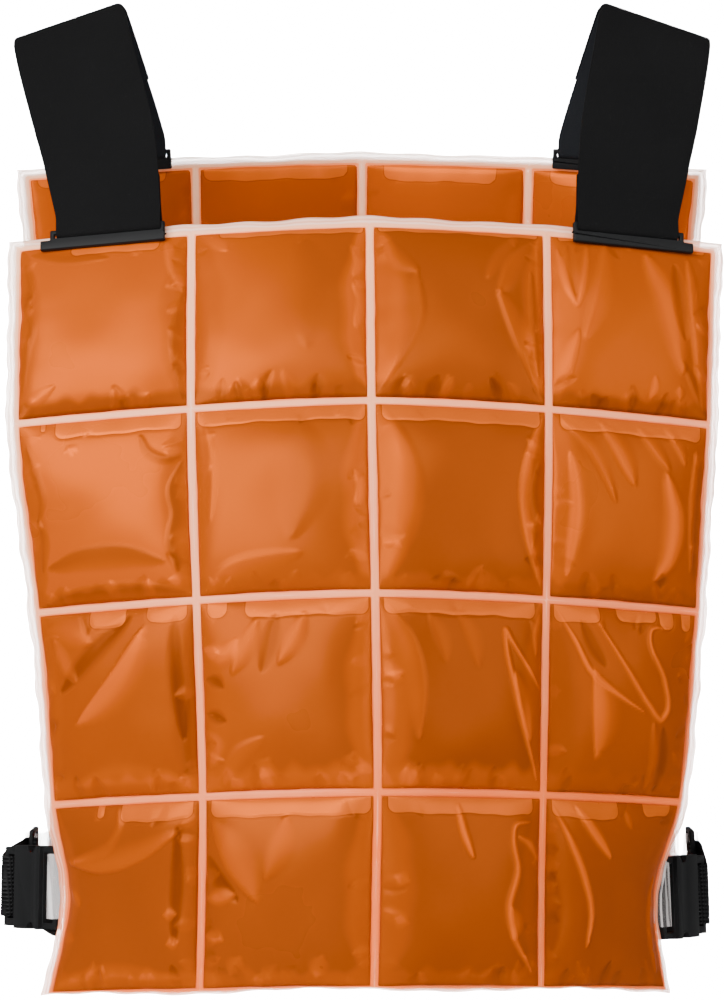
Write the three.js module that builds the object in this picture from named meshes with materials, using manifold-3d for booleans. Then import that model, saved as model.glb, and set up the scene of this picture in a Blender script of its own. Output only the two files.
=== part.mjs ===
// A cooling vest, modelled as it is worn. Two panels of liquid-filled cells, welded between clear films, hang in
// front and behind from two shoulder straps, and a side-release buckle on webbing closes each side at the waist.
//
// Millimetres. +X is the wearer's left, -Y the front and +Z up. The origin lies between the shoulders, level with
// the underside of the straps where they rest on them.

import * as THREE from "three";
import { mergeVertices } from "three/addons/utils/BufferGeometryUtils.js";
import Module from "manifold-3d";

// Driving sizes

const clearance = 0.3;

const cell = { width: 87.5, height: 95.5, outerBulge: 8, innerBulge: 6 };

const film = { thickness: 1, seam: 5, crossSeam: 4.5, sideHem: 7.5, topHem: 7, bottomHem: 5 };

// Where the middle of each panel's top edge hangs: its depth below the origin, and its distance in front of it or
// behind it as a share of a cell's width, which is how far apart the wearer holds wider panels.
const frontTop = { depth: 105, apart: 0.652 };
const backTop = { depth: 61.5, apart: 0.75 };
const edgeDroop = 12;

// flare is how far the straps spread outwards between the rings and the shoulders.
const strap = { width: 62, thickness: 1.8, flare: 16.25, slope: 19 };
const underStrap = { width: 60 };

const ring = { width: 66, thickness: 3, bar: 3.2, foot: 5.6, end: 1.5, corner: 1.6, stand: 0.7 };

const loop = { height: 34, thickness: 0.8, weld: 6.5, reach: 14, bar: 7.6, mouth: 3.3 };

const buckle = {
  width: 44, // across the webbing
  thickness: 9,
  wall: 1.7,
  frame: 3.4, // thickness of the open frame at the loop, and of the plug's own frame
  bar: 3.4,
  slot: 11, // between the bar and the body
  body: 27,
  stub: 14, // length of the plug that shows behind the body
  window: 11,
};

const webbing = { width: 32, thickness: 1.6, tail: 38, turnUp: 8 };

const link = { bar: 3, length: 12 };


// Shape tables

// One row for each height of a panel. at is the share of the panel's height, shift the sideways place of the
// panel's middle as a share of a cell's width, lean the slope of the panel in degrees, where it comes away from
// the neck on its way down, and turn the angle of each column of cells about the vertical, in degrees.
const frontSections = [
  { at: 0, shift: 0.045, lean: 26, turn: [-8, -3, 6, 15] },
  { at: 0.26, shift: 0.055, lean: 19, turn: [-10, -6, 11, 23] },
  { at: 0.5, shift: 0.075, lean: 6, turn: [-25, -12, 20, 29] },
  { at: 0.75, shift: 0.09, lean: -1, turn: [-31, -17, 25, 37] },
  { at: 0.87, shift: 0.08, lean: -3, turn: [-39, -17, 24, 48] },
  { at: 1, shift: 0.07, lean: -4, turn: [-30, -17, 23, 43] },
];
const backSections = [
  { at: 0, shift: 0, lean: 22, turn: [-9, -13, 13, 9] },
  { at: 0.17, shift: 0, lean: 21, turn: [-21, -13, 13, 21] },
  { at: 0.26, shift: 0, lean: 19, turn: [-25, -14, 14, 25] },
  { at: 0.5, shift: 0, lean: 11, turn: [-30, -14, 14, 30] },
  { at: 0.75, shift: 0, lean: 4, turn: [-33, -13, 13, 33] },
  { at: 0.89, shift: 0, lean: 0, turn: [-34, -12, 12, 34] },
  { at: 1, shift: 0, lean: -2, turn: [-31, -12, 12, 31] },
];

// The route of a strap over the shoulder, from the front ring to the top and from the top to the back ring. Each
// row gives its shares of the way up or down, back and sideways, and of the strap's width on its outer side.
const frontLeg = [
  { rise: 0, back: 0, out: 0, outer: 0.78 },
  { rise: 0.2, back: 0.15, out: 0.08, outer: 0.9 },
  { rise: 0.42, back: 0.32, out: 0.26, outer: 1 },
  { rise: 0.65, back: 0.51, out: 0.57, outer: 1 },
  { rise: 0.83, back: 0.69, out: 0.82, outer: 1 },
  { rise: 0.95, back: 0.86, out: 0.96, outer: 1 },
  { rise: 1, back: 1, out: 1, outer: 1 },
];
const backLeg = [
  { fall: 0.07, back: 0.22, out: 0.07, outer: 1 },
  { fall: 0.24, back: 0.44, out: 0.24, outer: 1 },
  { fall: 0.48, back: 0.66, out: 0.48, outer: 1 },
  { fall: 0.75, back: 0.85, out: 0.76, outer: 1 },
  { fall: 1, back: 1, out: 1, outer: 1 },
];
// How far round the route, as a share of it, each of the two overlapping straps ends.
const strapEnds = { over: 0.84, under: 0.34 };

// Where the clear loop is welded to the front panel, as a share of its height from the top, and how far its bar
// hangs below that, as a share of the loop's height.
// The angles, in degrees, are those of the buckle from straight across the vest, of its back end where it hangs
// down, of its lower edge where it swings out, and of the free end of its webbing where it drops. The wearer's
// right side comes first.
const sides = [
  { name: "right", sign: -1, waist: 0.849, hang: 0.06, turn: 66, pitch: 3, swing: 3, tailDrop: 17 },
  { name: "left", sign: 1, waist: 0.866, hang: 0.03, turn: 68, pitch: 2, swing: 3, tailDrop: 2 },
];

// Derived sizes

const columns = 4;
const rows = 4;
const pitch = cell.width + film.seam;
const panelWidth = columns * pitch - film.seam + 2 * film.sideHem;
const panelHeight = film.topHem + rows * (cell.height + film.crossSeam) - film.crossSeam + film.bottomHem;
const ringPlace = 1.5 * pitch;
// The clear loop is welded as low on the back panel as it fits.
const backWaist = panelHeight - film.bottomHem * 0.3 - loop.height / 2;

const degrees = THREE.MathUtils.degToRad;
const { clamp, lerp, smoothstep } = THREE.MathUtils;

// Materials

const finish = (color, roughness, extra = {}) =>
  new THREE.MeshStandardMaterial({ color, roughness, metalness: 0, ...extra });
const materials = {
  fill: finish(0xd8640f, 0.25),
  film: finish(0xf7cdb9, 0.3, { transparent: true, opacity: 0.7 }),
  clear: finish(0xdcd8d6, 0.2, { transparent: true, opacity: 0.5 }),
  fabric: finish(0x1d1d1e, 0.9),
  webbing: finish(0x121213, 0.85),
  plastic: finish(0x2c2d2f, 0.45),
};

const vest = new THREE.Group();

function add(name, geometry, material) {
  const mesh = new THREE.Mesh(geometry, material);
  mesh.name = name;
  vest.add(mesh);
  return mesh;
}

// Solids from a grid

// A solid made of the present squares of a grid of i by j lines. point gives a line crossing on the solid's
// upper face (+1) or its lower one (-1), and walls close it wherever a square has no neighbour.
function slab(iCount, jCount, point, present = () => true) {
  const corners = [];
  const isThere = (i, j) => i >= 0 && j >= 0 && i < iCount - 1 && j < jCount - 1 && present(i, j);
  const quad = (a, b, c, d) => corners.push(a, b, c, a, c, d);
  for (let i = 0; i < iCount - 1; i++) {
    for (let j = 0; j < jCount - 1; j++) {
      if (!isThere(i, j)) continue;
      const [a, b, c, d] = [[i, j], [i + 1, j], [i + 1, j + 1], [i, j + 1]];
      const [upper, lower] = [1, -1].map((face) => [a, b, c, d].map(([p, q]) => point(p, q, face)));
      quad(upper[0], upper[1], upper[2], upper[3]);
      quad(lower[0], lower[3], lower[2], lower[1]);
      const neighbours = [[i, j - 1], [i + 1, j], [i, j + 1], [i - 1, j]];
      neighbours.forEach(([p, q], side) => {
        const next = (side + 1) % 4;
        if (!isThere(p, q)) quad(lower[side], lower[next], upper[next], upper[side]);
      });
    }
  }
  return closedGeometry(corners);
}

// A geometry of loose triangles, turned so that its faces point out.
function closedGeometry(corners) {
  let volume = 0;
  for (let i = 0; i < corners.length; i += 3) {
    volume += corners[i].dot(corners[i + 1].clone().cross(corners[i + 2])) / 6;
  }
  if (volume < 0) {
    for (let i = 0; i < corners.length; i += 3) {
      [corners[i + 1], corners[i + 2]] = [corners[i + 2], corners[i + 1]];
    }
  }
  const geometry = new THREE.BufferGeometry().setFromPoints(corners);
  geometry.computeVertexNormals();
  return geometry;
}

// A flat band along a route. Each stop has a centre, the unit direction of the band's width, and how far the band
// reaches from the centre to each side of it.
function band(stops, thickness) {
  const normals = stops.map((stop, i) => {
    const before = stops[Math.max(i - 1, 0)].centre;
    const after = stops[Math.min(i + 1, stops.length - 1)].centre;
    return after.clone().sub(before).cross(stop.wide).normalize();
  });
  return slab(stops.length, 2, (i, j, face) =>
    stops[i].centre
      .clone()
      .addScaledVector(stops[i].wide, j ? stops[i].outer : -stops[i].inner)
      .addScaledVector(normals[i], (face * thickness) / 2),
  );
}

// Panels

// The value of one column of a section table at a share of the panel's height, on a smooth curve through its rows.
function between(sections, at, read) {
  const last = sections.length - 1;
  let i = 0;
  while (i < last - 1 && at > sections[i + 1].at) i++;
  const [a, b] = [sections[i], sections[i + 1]];
  const slope = (p, q) => (read(q) - read(p)) / (q.at - p.at);
  const chord = slope(a, b);
  const startSlope = i > 0 ? (slope(sections[i - 1], a) + chord) / 2 : chord;
  const endSlope = i + 1 < last ? (chord + slope(b, sections[i + 2])) / 2 : chord;
  const span = b.at - a.at;
  const t = clamp((at - a.at) / span, 0, 1);
  const rise = t * t * (3 - 2 * t);
  return (
    lerp(read(a), read(b), rise) +
    span * t * (1 - t) * ((1 - t) * startSlope - t * endSlope)
  );
}

// Sums a function of the distance from 0, in steps short against a cell.
function integrate(to, value) {
  const steps = Math.max(1, Math.ceil((Math.abs(to) / cell.width) * 10));
  let sum = 0;
  for (let k = 0; k < steps; k++) sum += value(((k + 0.5) / steps) * to);
  return (sum * to) / steps;
}

class Panel {
  constructor(name, side, top, sections) {
    Object.assign(this, { name, side, top, sections });
  }

  // The turn about the vertical: each column of cells is nearly flat, and the panel bends along its seams.
  turn(across, at) {
    const hinge = 0.65;
    const place = across / pitch + columns / 2 - 0.5;
    const i = clamp(Math.floor(place), 0, columns - 2);
    const share = smoothstep(place - i, 0.5 - hinge / 2, 0.5 + hinge / 2);
    const read = (k) => between(this.sections, at, (row) => row.turn[k]);
    return degrees(lerp(read(i), read(i + 1), share));
  }

  // A point of the panel's middle surface, across from its middle line and down from its top edge.
  point(across, down) {
    const at = clamp(down / panelHeight, 0, 1);
    const lean = (d) => degrees(between(this.sections, clamp(d / panelHeight, 0, 1), (row) => row.lean));
    const shift = between(this.sections, at, (row) => row.shift) * cell.width;
    const droop = edgeDroop * Math.abs((2 * across) / panelWidth) ** 1.5;
    return new THREE.Vector3(
      shift + integrate(across, (a) => Math.cos(this.turn(a, at))),
      this.side * this.top.apart * cell.width +
        this.side * integrate(down, (d) => Math.sin(lean(d))) -
        this.side * integrate(across, (a) => Math.sin(this.turn(a, at))),
      -this.top.depth - integrate(down, (d) => Math.cos(lean(d))) - droop,
    );
  }

  // The directions of the surface at a point: across, up, and out from the wearer.
  frame(across, down) {
    const step = 0.5;
    const centre = this.point(across, down);
    const along = this.point(across + step, down).sub(this.point(across - step, down)).normalize();
    const up = this.point(across, down - step).sub(this.point(across, down + step)).normalize();
    const out = along.clone().cross(up).normalize().multiplyScalar(-this.side);
    return { centre, along, up, out };
  }

  offset(across, down, height) {
    const { centre, out } = this.frame(across, down);
    return centre.addScaledVector(out, height);
  }
}

const panels = {
  front: new Panel("front", -1, frontTop, frontSections),
  back: new Panel("back", 1, backTop, backSections),
};

// Where each cell starts and ends, across a panel or down it.
const cellSpans = (first, size, seam, count) =>
  Array.from({ length: count }, (_, i) => {
    const start = first + i * (size + seam);
    return [start, start + size];
  });
const columnSpans = cellSpans(film.sideHem - panelWidth / 2, cell.width, film.seam, columns);
const rowSpans = cellSpans(film.topHem, cell.height, film.crossSeam, rows);

// The grid lines of a cell, as shares of its size, closer together near its seams.
const cellLines = [0, 0.14, 0.5, 0.86, 1];
const linesOf = ([start, end], gap) => cellLines.map((share) => lerp(start - gap, end + gap, share));

// How full a cell is at a place in it, from -1 to 1 each way: flat in the middle, steep at the seams and fuller
// below, where the liquid gathers.
function fullness(across, down) {
  const edge = (a) => (1 - Math.abs(a) ** 3) ** 0.8;
  return edge(across) * edge(down) * (1 + 0.16 * down);
}

function addCell(panel, row, column) {
  const acrossLines = linesOf(columnSpans[column], -clearance / 2);
  const downLines = linesOf(rowSpans[row], -clearance / 2);
  const geometry = slab(cellLines.length, cellLines.length, (i, j, face) => {
    const full = fullness(2 * cellLines[i] - 1, 2 * cellLines[j] - 1);
    const bulge = face > 0 ? cell.outerBulge : cell.innerBulge;
    return panel.offset(acrossLines[i], downLines[j], face * (film.thickness / 2 + bulge * full));
  });
  add(`${panel.name}_cell_r${row + 1}c${column + 1}`, geometry, materials.fill);
}

// The welded film: hems and seams, with an opening for each cell.
const filmLines = (low, spans, high) => [low, ...spans.flatMap((span) => linesOf(span, clearance / 2)), high];
const filmAcross = filmLines(-panelWidth / 2, columnSpans, panelWidth / 2);
const filmDown = filmLines(0, rowSpans, panelHeight);

function addFilm(panel) {
  const isSeam = (i) => i % cellLines.length === 0;
  const geometry = slab(
    filmAcross.length,
    filmDown.length,
    (i, j, face) => panel.offset(filmAcross[i], filmDown[j], (face * film.thickness) / 2),
    (i, j) => isSeam(i) || isSeam(j),
  );
  add(`${panel.name}_film`, geometry, materials.film);
}

// A point over the film's own flat facets, which lie between its grid lines.
function overFilm(panel, across, down, height) {
  const bracket = (lines, value) => {
    let i = 0;
    while (i < lines.length - 2 && value > lines[i + 1]) i++;
    return [lines[i], lines[i + 1], (value - lines[i]) / (lines[i + 1] - lines[i])];
  };
  const [left, right, acrossShare] = bracket(filmAcross, across);
  const [upper, lower, downShare] = bracket(filmDown, down);
  const at = (d) => panel.offset(left, d, height).lerp(panel.offset(right, d, height), acrossShare);
  return at(upper).lerp(at(lower), downShare);
}

for (const panel of Object.values(panels)) {
  addFilm(panel);
  for (let row = 0; row < rows; row++) {
    for (let column = 0; column < columns; column++) addCell(panel, row, column);
  }
}

// Joining and cutting

const wasm = await Module();
wasm.setup();

function toManifold(geometry) {
  const bare = geometry.clone();
  bare.deleteAttribute("normal");
  bare.deleteAttribute("uv");
  const merged = mergeVertices(bare, 1e-4);
  return new wasm.Manifold(
    new wasm.Mesh({
      numProp: 3,
      vertProperties: new Float32Array(merged.attributes.position.array),
      triVerts: new Uint32Array(merged.index.array),
    }),
  );
}

function fromManifold(solid) {
  const { vertProperties, triVerts } = solid.getMesh();
  const geometry = new THREE.BufferGeometry()
    .setAttribute("position", new THREE.BufferAttribute(vertProperties, 3))
    .setIndex(new THREE.BufferAttribute(triVerts, 1));
  geometry.computeVertexNormals();
  return geometry;
}

const combine = (body, joined, cuts) => {
  let solid = toManifold(body);
  for (const piece of joined) solid = solid.add(toManifold(piece));
  for (const piece of cuts) solid = solid.subtract(toManifold(piece));
  return fromManifold(solid);
};

// A plate of a given outline, centred on its own plane.
function plate(shape, thickness, bevel = 0) {
  const geometry = new THREE.ExtrudeGeometry(shape, {
    depth: thickness - 2 * bevel,
    curveSegments: 2,
    bevelEnabled: bevel > 0,
    bevelThickness: bevel,
    bevelSize: bevel,
    bevelOffset: -bevel,
    bevelSegments: 1,
  });
  return geometry.translate(0, 0, bevel - thickness / 2);
}

function roundedRectangle(left, right, bottom, top, radius) {
  const shape = new THREE.Shape();
  shape.moveTo(left + radius, bottom);
  shape.absarc(right - radius, bottom + radius, radius, -Math.PI / 2, 0);
  shape.absarc(right - radius, top - radius, radius, 0, Math.PI / 2);
  shape.absarc(left + radius, top - radius, radius, Math.PI / 2, Math.PI);
  shape.absarc(left + radius, bottom + radius, radius, Math.PI, Math.PI * 1.5);
  return shape;
}

const box = (left, right, bottom, top, low, high) =>
  new THREE.BoxGeometry(right - left, top - bottom, high - low).translate(
    (left + right) / 2,
    (bottom + top) / 2,
    (low + high) / 2,
  );

// Shoulder rings and straps

const ringSlot = strap.thickness + 1;
// From the film's top edge up to the middle of the bar that the strap is folded round.
const barRise = ringSlot + ring.bar / 2;
// The middle of the upper strap's thickness, over the underside of the lower one.
const upperLayer = 1.5 * strap.thickness + 2 * clearance;

// The frame of a ring: centred on its upper bar, it stands on the front side of the panel's top hem, which is
// outside the front panel and inside the back one.
function ringFrame(panel, sign) {
  const { along, up } = panel.frame(sign * ringPlace, film.topHem / 2);
  const forward = along.clone().cross(up).normalize();
  const upright = forward.clone().cross(along);
  const stand = film.thickness / 2 + ring.stand + ring.thickness / 2;
  const centre = panel.point(sign * ringPlace, 0);
  centre.addScaledVector(upright, barRise).addScaledVector(forward, stand);
  return { centre, along, up: upright, forward };
}

// A flat loop with a bar above the slot for the strap to fold round, and a deeper foot on the hem below it.
function ringGeometry() {
  const top = ring.bar / 2;
  const bottom = -barRise - ring.foot;
  const half = ring.width / 2;
  const shape = roundedRectangle(-half, half, bottom, top, ring.corner);
  const slotHalf = half - ring.end;
  shape.holes.push(roundedRectangle(-slotHalf, slotHalf, -top - ringSlot, -top, 0.6));
  return plate(shape, ring.thickness, 0.5);
}

for (const side of sides) {
  for (const panel of Object.values(panels)) {
    const { centre, along, up, forward } = ringFrame(panel, side.sign);
    const mesh = add(`${panel.name}_ring_${side.name}`, ringGeometry(), materials.plastic);
    mesh.applyMatrix4(new THREE.Matrix4().makeBasis(along, up, forward).setPosition(centre));
  }
}

// The fold of a strap round a ring's bar: down behind the bar, through the slot and up in front of it.
function foldStops(frame, inner, outer, wide) {
  const layer = ring.thickness / 2 + clearance + strap.thickness / 2;
  const below = ring.bar / 2 + ringSlot / 2;
  const route = [
    [ring.bar * 1.5, -layer * 0.75],
    [ring.bar * 0.5, -layer],
    [-ring.bar * 0.5, -layer],
    [-below, -ring.thickness * 0.45],
    [-below, ring.thickness * 0.45],
    [-ring.bar * 0.5, layer],
    [ring.bar * 0.5, layer],
    [ring.bar * 1.5, layer],
  ];
  return route.map(([up, forward]) => ({
    centre: frame.centre.clone().addScaledVector(frame.up, up).addScaledVector(frame.forward, forward),
    wide,
    inner,
    outer,
  }));
}

// The underside of the straps on one shoulder, from just above the front ring to just above the back one.
function shoulderRoute(side, front, back) {
  const layer = ring.thickness / 2 + clearance + strap.thickness / 2;
  const liftOff = ring.bar * 2.5;
  const start = front.centre
    .clone()
    .addScaledVector(front.up, liftOff)
    .addScaledVector(front.forward, layer - upperLayer);
  const end = back.centre
    .clone()
    .addScaledVector(back.up, liftOff)
    .addScaledVector(back.forward, layer + strap.thickness / 2);
  const top = new THREE.Vector3(side.sign * (ringPlace + strap.flare), 0, 0);
  const outward = {
    start: front.along.clone().multiplyScalar(side.sign),
    top: new THREE.Vector3(side.sign * Math.cos(degrees(strap.slope)), 0, -Math.sin(degrees(strap.slope))),
    end: back.along.clone().multiplyScalar(side.sign),
  };
  const mix = (from, to, out, behind, up) =>
    new THREE.Vector3(lerp(from.x, to.x, out), lerp(from.y, to.y, behind), lerp(from.z, to.z, up));
  const rows = [
    ...frontLeg.map((row) => ({
      centre: mix(start, top, row.out, row.back, row.rise),
      wide: outward.start.clone().lerp(outward.top, row.rise).normalize(),
      outer: row.outer,
    })),
    ...backLeg.map((row) => ({
      centre: mix(top, end, row.out, row.back, row.fall),
      wide: outward.top.clone().lerp(outward.end, row.fall).normalize(),
      outer: row.outer,
    })),
  ];
  const centres = new THREE.CatmullRomCurve3(rows.map((row) => row.centre), false, "centripetal");
  const widths = new THREE.CatmullRomCurve3(rows.map((row) => row.wide), false, "centripetal");
  return (share) => {
    const place = share * (rows.length - 1);
    const i = Math.min(Math.floor(place), rows.length - 2);
    const centre = centres.getPoint(share);
    const wide = widths.getPoint(share).normalize();
    const tangent = centres.getTangent(share);
    const away = tangent.clone().cross(wide).normalize();
    if (away.y * centre.y + away.z * (centre.z + strap.width) < 0) away.negate();
    return { centre, wide, away, outer: lerp(rows[i].outer, rows[i + 1].outer, place - i) };
  };
}

// Stops along part of a shoulder route, at a height above its underside. Both layers have them at the same places.
const routeSteps = 26;
function routeStops(route, from, to, height, half) {
  const count = Math.round(Math.abs(to - from) * routeSteps) + 1;
  return Array.from({ length: count }, (_, i) => {
    const { centre, wide, away, outer } = route(from + (Math.sign(to - from) * i) / routeSteps);
    return { centre: centre.addScaledVector(away, height), wide, inner: half, outer: half * outer };
  });
}

for (const side of sides) {
  const front = ringFrame(panels.front, side.sign);
  const back = ringFrame(panels.back, side.sign);
  const route = shoulderRoute(side, front, back);
  const outerShare = frontLeg[0].outer;
  const frontHalf = strap.width / 2;
  const backHalf = underStrap.width / 2;
  const wideAt = (frame) => frame.along.clone().multiplyScalar(side.sign);

  // Each strap's turned-up end lies along the strap itself: under the upper one, and over the lower one.
  const layerStep = strap.thickness + 3 * clearance;
  const turnUp = 2 / routeSteps;
  const over = [
    ...routeStops(route, turnUp, 0, upperLayer - layerStep, frontHalf),
    ...foldStops(front, frontHalf, frontHalf * outerShare, wideAt(front)),
    ...routeStops(route, 0, strapEnds.over, upperLayer, frontHalf),
  ];
  add(`shoulder_strap_front_${side.name}`, band(over, strap.thickness), materials.fabric);

  const under = [
    ...routeStops(route, 1 - turnUp, 1, strap.thickness / 2 + layerStep, backHalf),
    ...foldStops(back, backHalf, backHalf, wideAt(back)),
    ...routeStops(route, 1, strapEnds.under, strap.thickness / 2, backHalf),
  ];
  add(`shoulder_strap_back_${side.name}`, band(under, strap.thickness), materials.fabric);
}

// Side straps

// The clear loop welded over the edge of a panel: one leg on each face of the hem, opening out round a bar and
// folded beyond it. Its legs follow the hem, and its tunnel is straight, in the direction of the bar.
function addClearLoop(panel, side, down, barUp, hang) {
  const edge = (side.sign * panelWidth) / 2;
  const { centre, along } = panel.frame(edge, down);
  const outward = along.clone().multiplyScalar(side.sign);
  outward.addScaledVector(barUp, -outward.dot(barUp)).normalize();
  const out = outward.clone().cross(barUp).multiplyScalar(-panel.side * side.sign);
  const leg = film.thickness / 2 + clearance + loop.thickness / 2;
  const tunnelStart = loop.bar - loop.mouth;
  const half = [
    [-loop.weld, leg],
    [-loop.weld / 2, leg],
    [0, leg],
    [tunnelStart, loop.mouth],
    [loop.bar + loop.mouth * 0.5, loop.mouth],
    [loop.reach - 1.2, loop.mouth * 0.62],
    [loop.reach, 0],
  ];
  const points = [...half, ...half.slice(0, -1).reverse().map(([a, b]) => [a, -b])];
  const ends = [down - loop.height / 2, down + loop.height / 2];
  const stations = [ends[0], ...filmDown.filter((d) => d > ends[0] + 2 && d < ends[1] - 5), ends[1]];
  const along2d = points.map((point, i) => {
    const [p, q] = [points[Math.max(i - 1, 0)], points[Math.min(i + 1, points.length - 1)]];
    const normal = new THREE.Vector2(p[1] - q[1], q[0] - p[0]).normalize();
    return { point, normal };
  });
  const geometry = slab(points.length, stations.length, (i, j, face) => {
    const { point, normal } = along2d[i];
    const a = point[0] + (normal.x * face * loop.thickness) / 2;
    const b = point[1] + (normal.y * face * loop.thickness) / 2;
    const onHem = overFilm(panel, edge + side.sign * Math.min(a, 0), stations[j], b);
    onHem.addScaledVector(outward, Math.max(a, 0));
    const onBar = centre
      .clone()
      .addScaledVector(barUp, down - stations[j] - hang)
      .addScaledVector(outward, a)
      .addScaledVector(out, b);
    return onHem.lerp(onBar, clamp(point[0] / tunnelStart, 0, 1));
  });
  add(`${panel.name}_loop_${side.name}`, geometry, materials.clear);
  // The middle of the bar that the loop holds.
  return centre.clone().addScaledVector(outward, loop.bar).addScaledVector(barUp, -hang);
}

// The directions of a buckle: along from its bar towards the back, up, and out from the wearer.
function buckleDirections(side) {
  const along = new THREE.Vector3(side.sign * Math.cos(degrees(side.turn)), Math.sin(degrees(side.turn)), 0);
  const level = new THREE.Vector3(side.sign * along.y, -Math.abs(along.x), 0);
  along.z = -Math.tan(degrees(side.pitch));
  along.normalize();
  const up = new THREE.Vector3(0, 0, 1).addScaledVector(level, -Math.tan(degrees(side.swing)));
  up.addScaledVector(along, -up.dot(along)).normalize();
  const out = along.clone().cross(up).multiplyScalar(side.sign).normalize();
  return { along, up, out };
}

// A frame's basis is right-handed for the socket's own drawing: along, up and their cross product.
function poseIn(mesh, frame) {
  const third = frame.along.clone().cross(frame.up);
  mesh.applyMatrix4(new THREE.Matrix4().makeBasis(frame.along, frame.up, third).setPosition(frame.bar));
}

const bodyStart = buckle.bar / 2 + buckle.slot;
const bodyEnd = bodyStart + buckle.body;
const stubEnd = bodyEnd + buckle.stub;
const plugBar = stubEnd - buckle.bar / 2;
const slotHalf = loop.height / 2 + 0.8;
const pocketHalf = buckle.width / 2 - buckle.wall;
const windowMiddle = bodyStart + buckle.body * 0.58;

// The socket half: an open frame for the loop, and a hollow body with a window at each side for the plug's prongs.
function socketGeometry() {
  const half = buckle.width / 2;
  const neck = slotHalf + 2.6;
  const outline = new THREE.Shape();
  const corner = 5;
  outline.moveTo(bodyEnd, -half);
  outline.lineTo(bodyEnd, half);
  outline.lineTo(bodyStart + corner, half);
  outline.lineTo(bodyStart - 1, neck);
  outline.lineTo(corner - buckle.bar / 2, neck);
  outline.absarc(corner - buckle.bar / 2, neck - corner, corner, Math.PI / 2, Math.PI);
  outline.absarc(corner - buckle.bar / 2, corner - neck, corner, Math.PI, Math.PI * 1.5);
  outline.lineTo(bodyStart - 1, -neck);
  outline.lineTo(bodyStart + corner, -half);
  outline.holes.push(
    roundedRectangle(buckle.bar / 2, bodyStart, -slotHalf, slotHalf, 1),
  );
  const bodyOutline = roundedRectangle(bodyStart, bodyEnd, -half, half, 2.4);
  const pocket = buckle.thickness / 2 - buckle.wall;
  const window = [-1, 1].map((sign) =>
    plate(
      new THREE.Shape().absarc(windowMiddle, sign * half, buckle.window / 2, 0, Math.PI * 2),
      buckle.thickness + 2,
    ),
  );
  return combine(
    plate(outline, buckle.frame, 0.6),
    [plate(bodyOutline, buckle.thickness, 1.4)],
    [box(bodyStart + 3, bodyEnd + 1, -pocketHalf, pocketHalf, -pocket, pocket), ...window],
  );
}

// The plug half: a guide and two prongs, whose buttons fill the socket's windows, on a stub with the webbing's bar.
function plugGeometry() {
  const tongue = buckle.thickness - 2 * buckle.wall - 2 * clearance;
  const tip = bodyStart + 5;
  const root = bodyEnd + clearance;
  const armOuter = pocketHalf - 2;
  const armInner = armOuter - 4;
  const button = buckle.window / 2 - 1.2;
  const barSlot = 6;
  const half = buckle.width / 2 - 1;
  const slotTop = webbing.width / 2 + 2 * clearance;
  const stub = roundedRectangle(root, stubEnd, -half, half, 2.4);
  const slotEnd = stubEnd - buckle.bar;
  stub.holes.push(roundedRectangle(slotEnd - barSlot, slotEnd, -slotTop, slotTop, 0.8));
  const arms = [-1, 1].flatMap((sign) => {
    const [low, high] = [sign * armInner, sign * armOuter].sort((a, b) => a - b);
    const knob = new THREE.Shape().absarc(windowMiddle, sign * (armOuter - 0.5), button, 0, Math.PI * 2);
    return [box(tip, root + 2, low, high, -tongue / 2, tongue / 2), plate(knob, tongue)];
  });
  const guide = box(tip, root + 2, -3, 3, -tongue / 2, tongue / 2);
  return combine(plate(stub, buckle.frame, 0.8), [guide, ...arms], []);
}

// The plain link that joins the webbing to the loop on the back panel.
function linkGeometry() {
  const half = slotHalf + 2.4;
  const end = link.bar / 2;
  const shape = roundedRectangle(-end, link.length + end, -half, half, 1.2);
  shape.holes.push(roundedRectangle(end, link.length - end, -slotHalf, slotHalf, 0.6));
  return plate(shape, link.bar, 0.6);
}

// A half turn of webbing round a bar, as points in the plane across the bar. start and sweep are in radians.
function wrap(bar, radius, start, sweep) {
  const steps = 6;
  return Array.from({ length: steps + 1 }, (_, i) => {
    const angle = start + (sweep * i) / steps;
    return bar.clone().add(new THREE.Vector2(Math.cos(angle), Math.sin(angle)).multiplyScalar(radius));
  });
}

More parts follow.
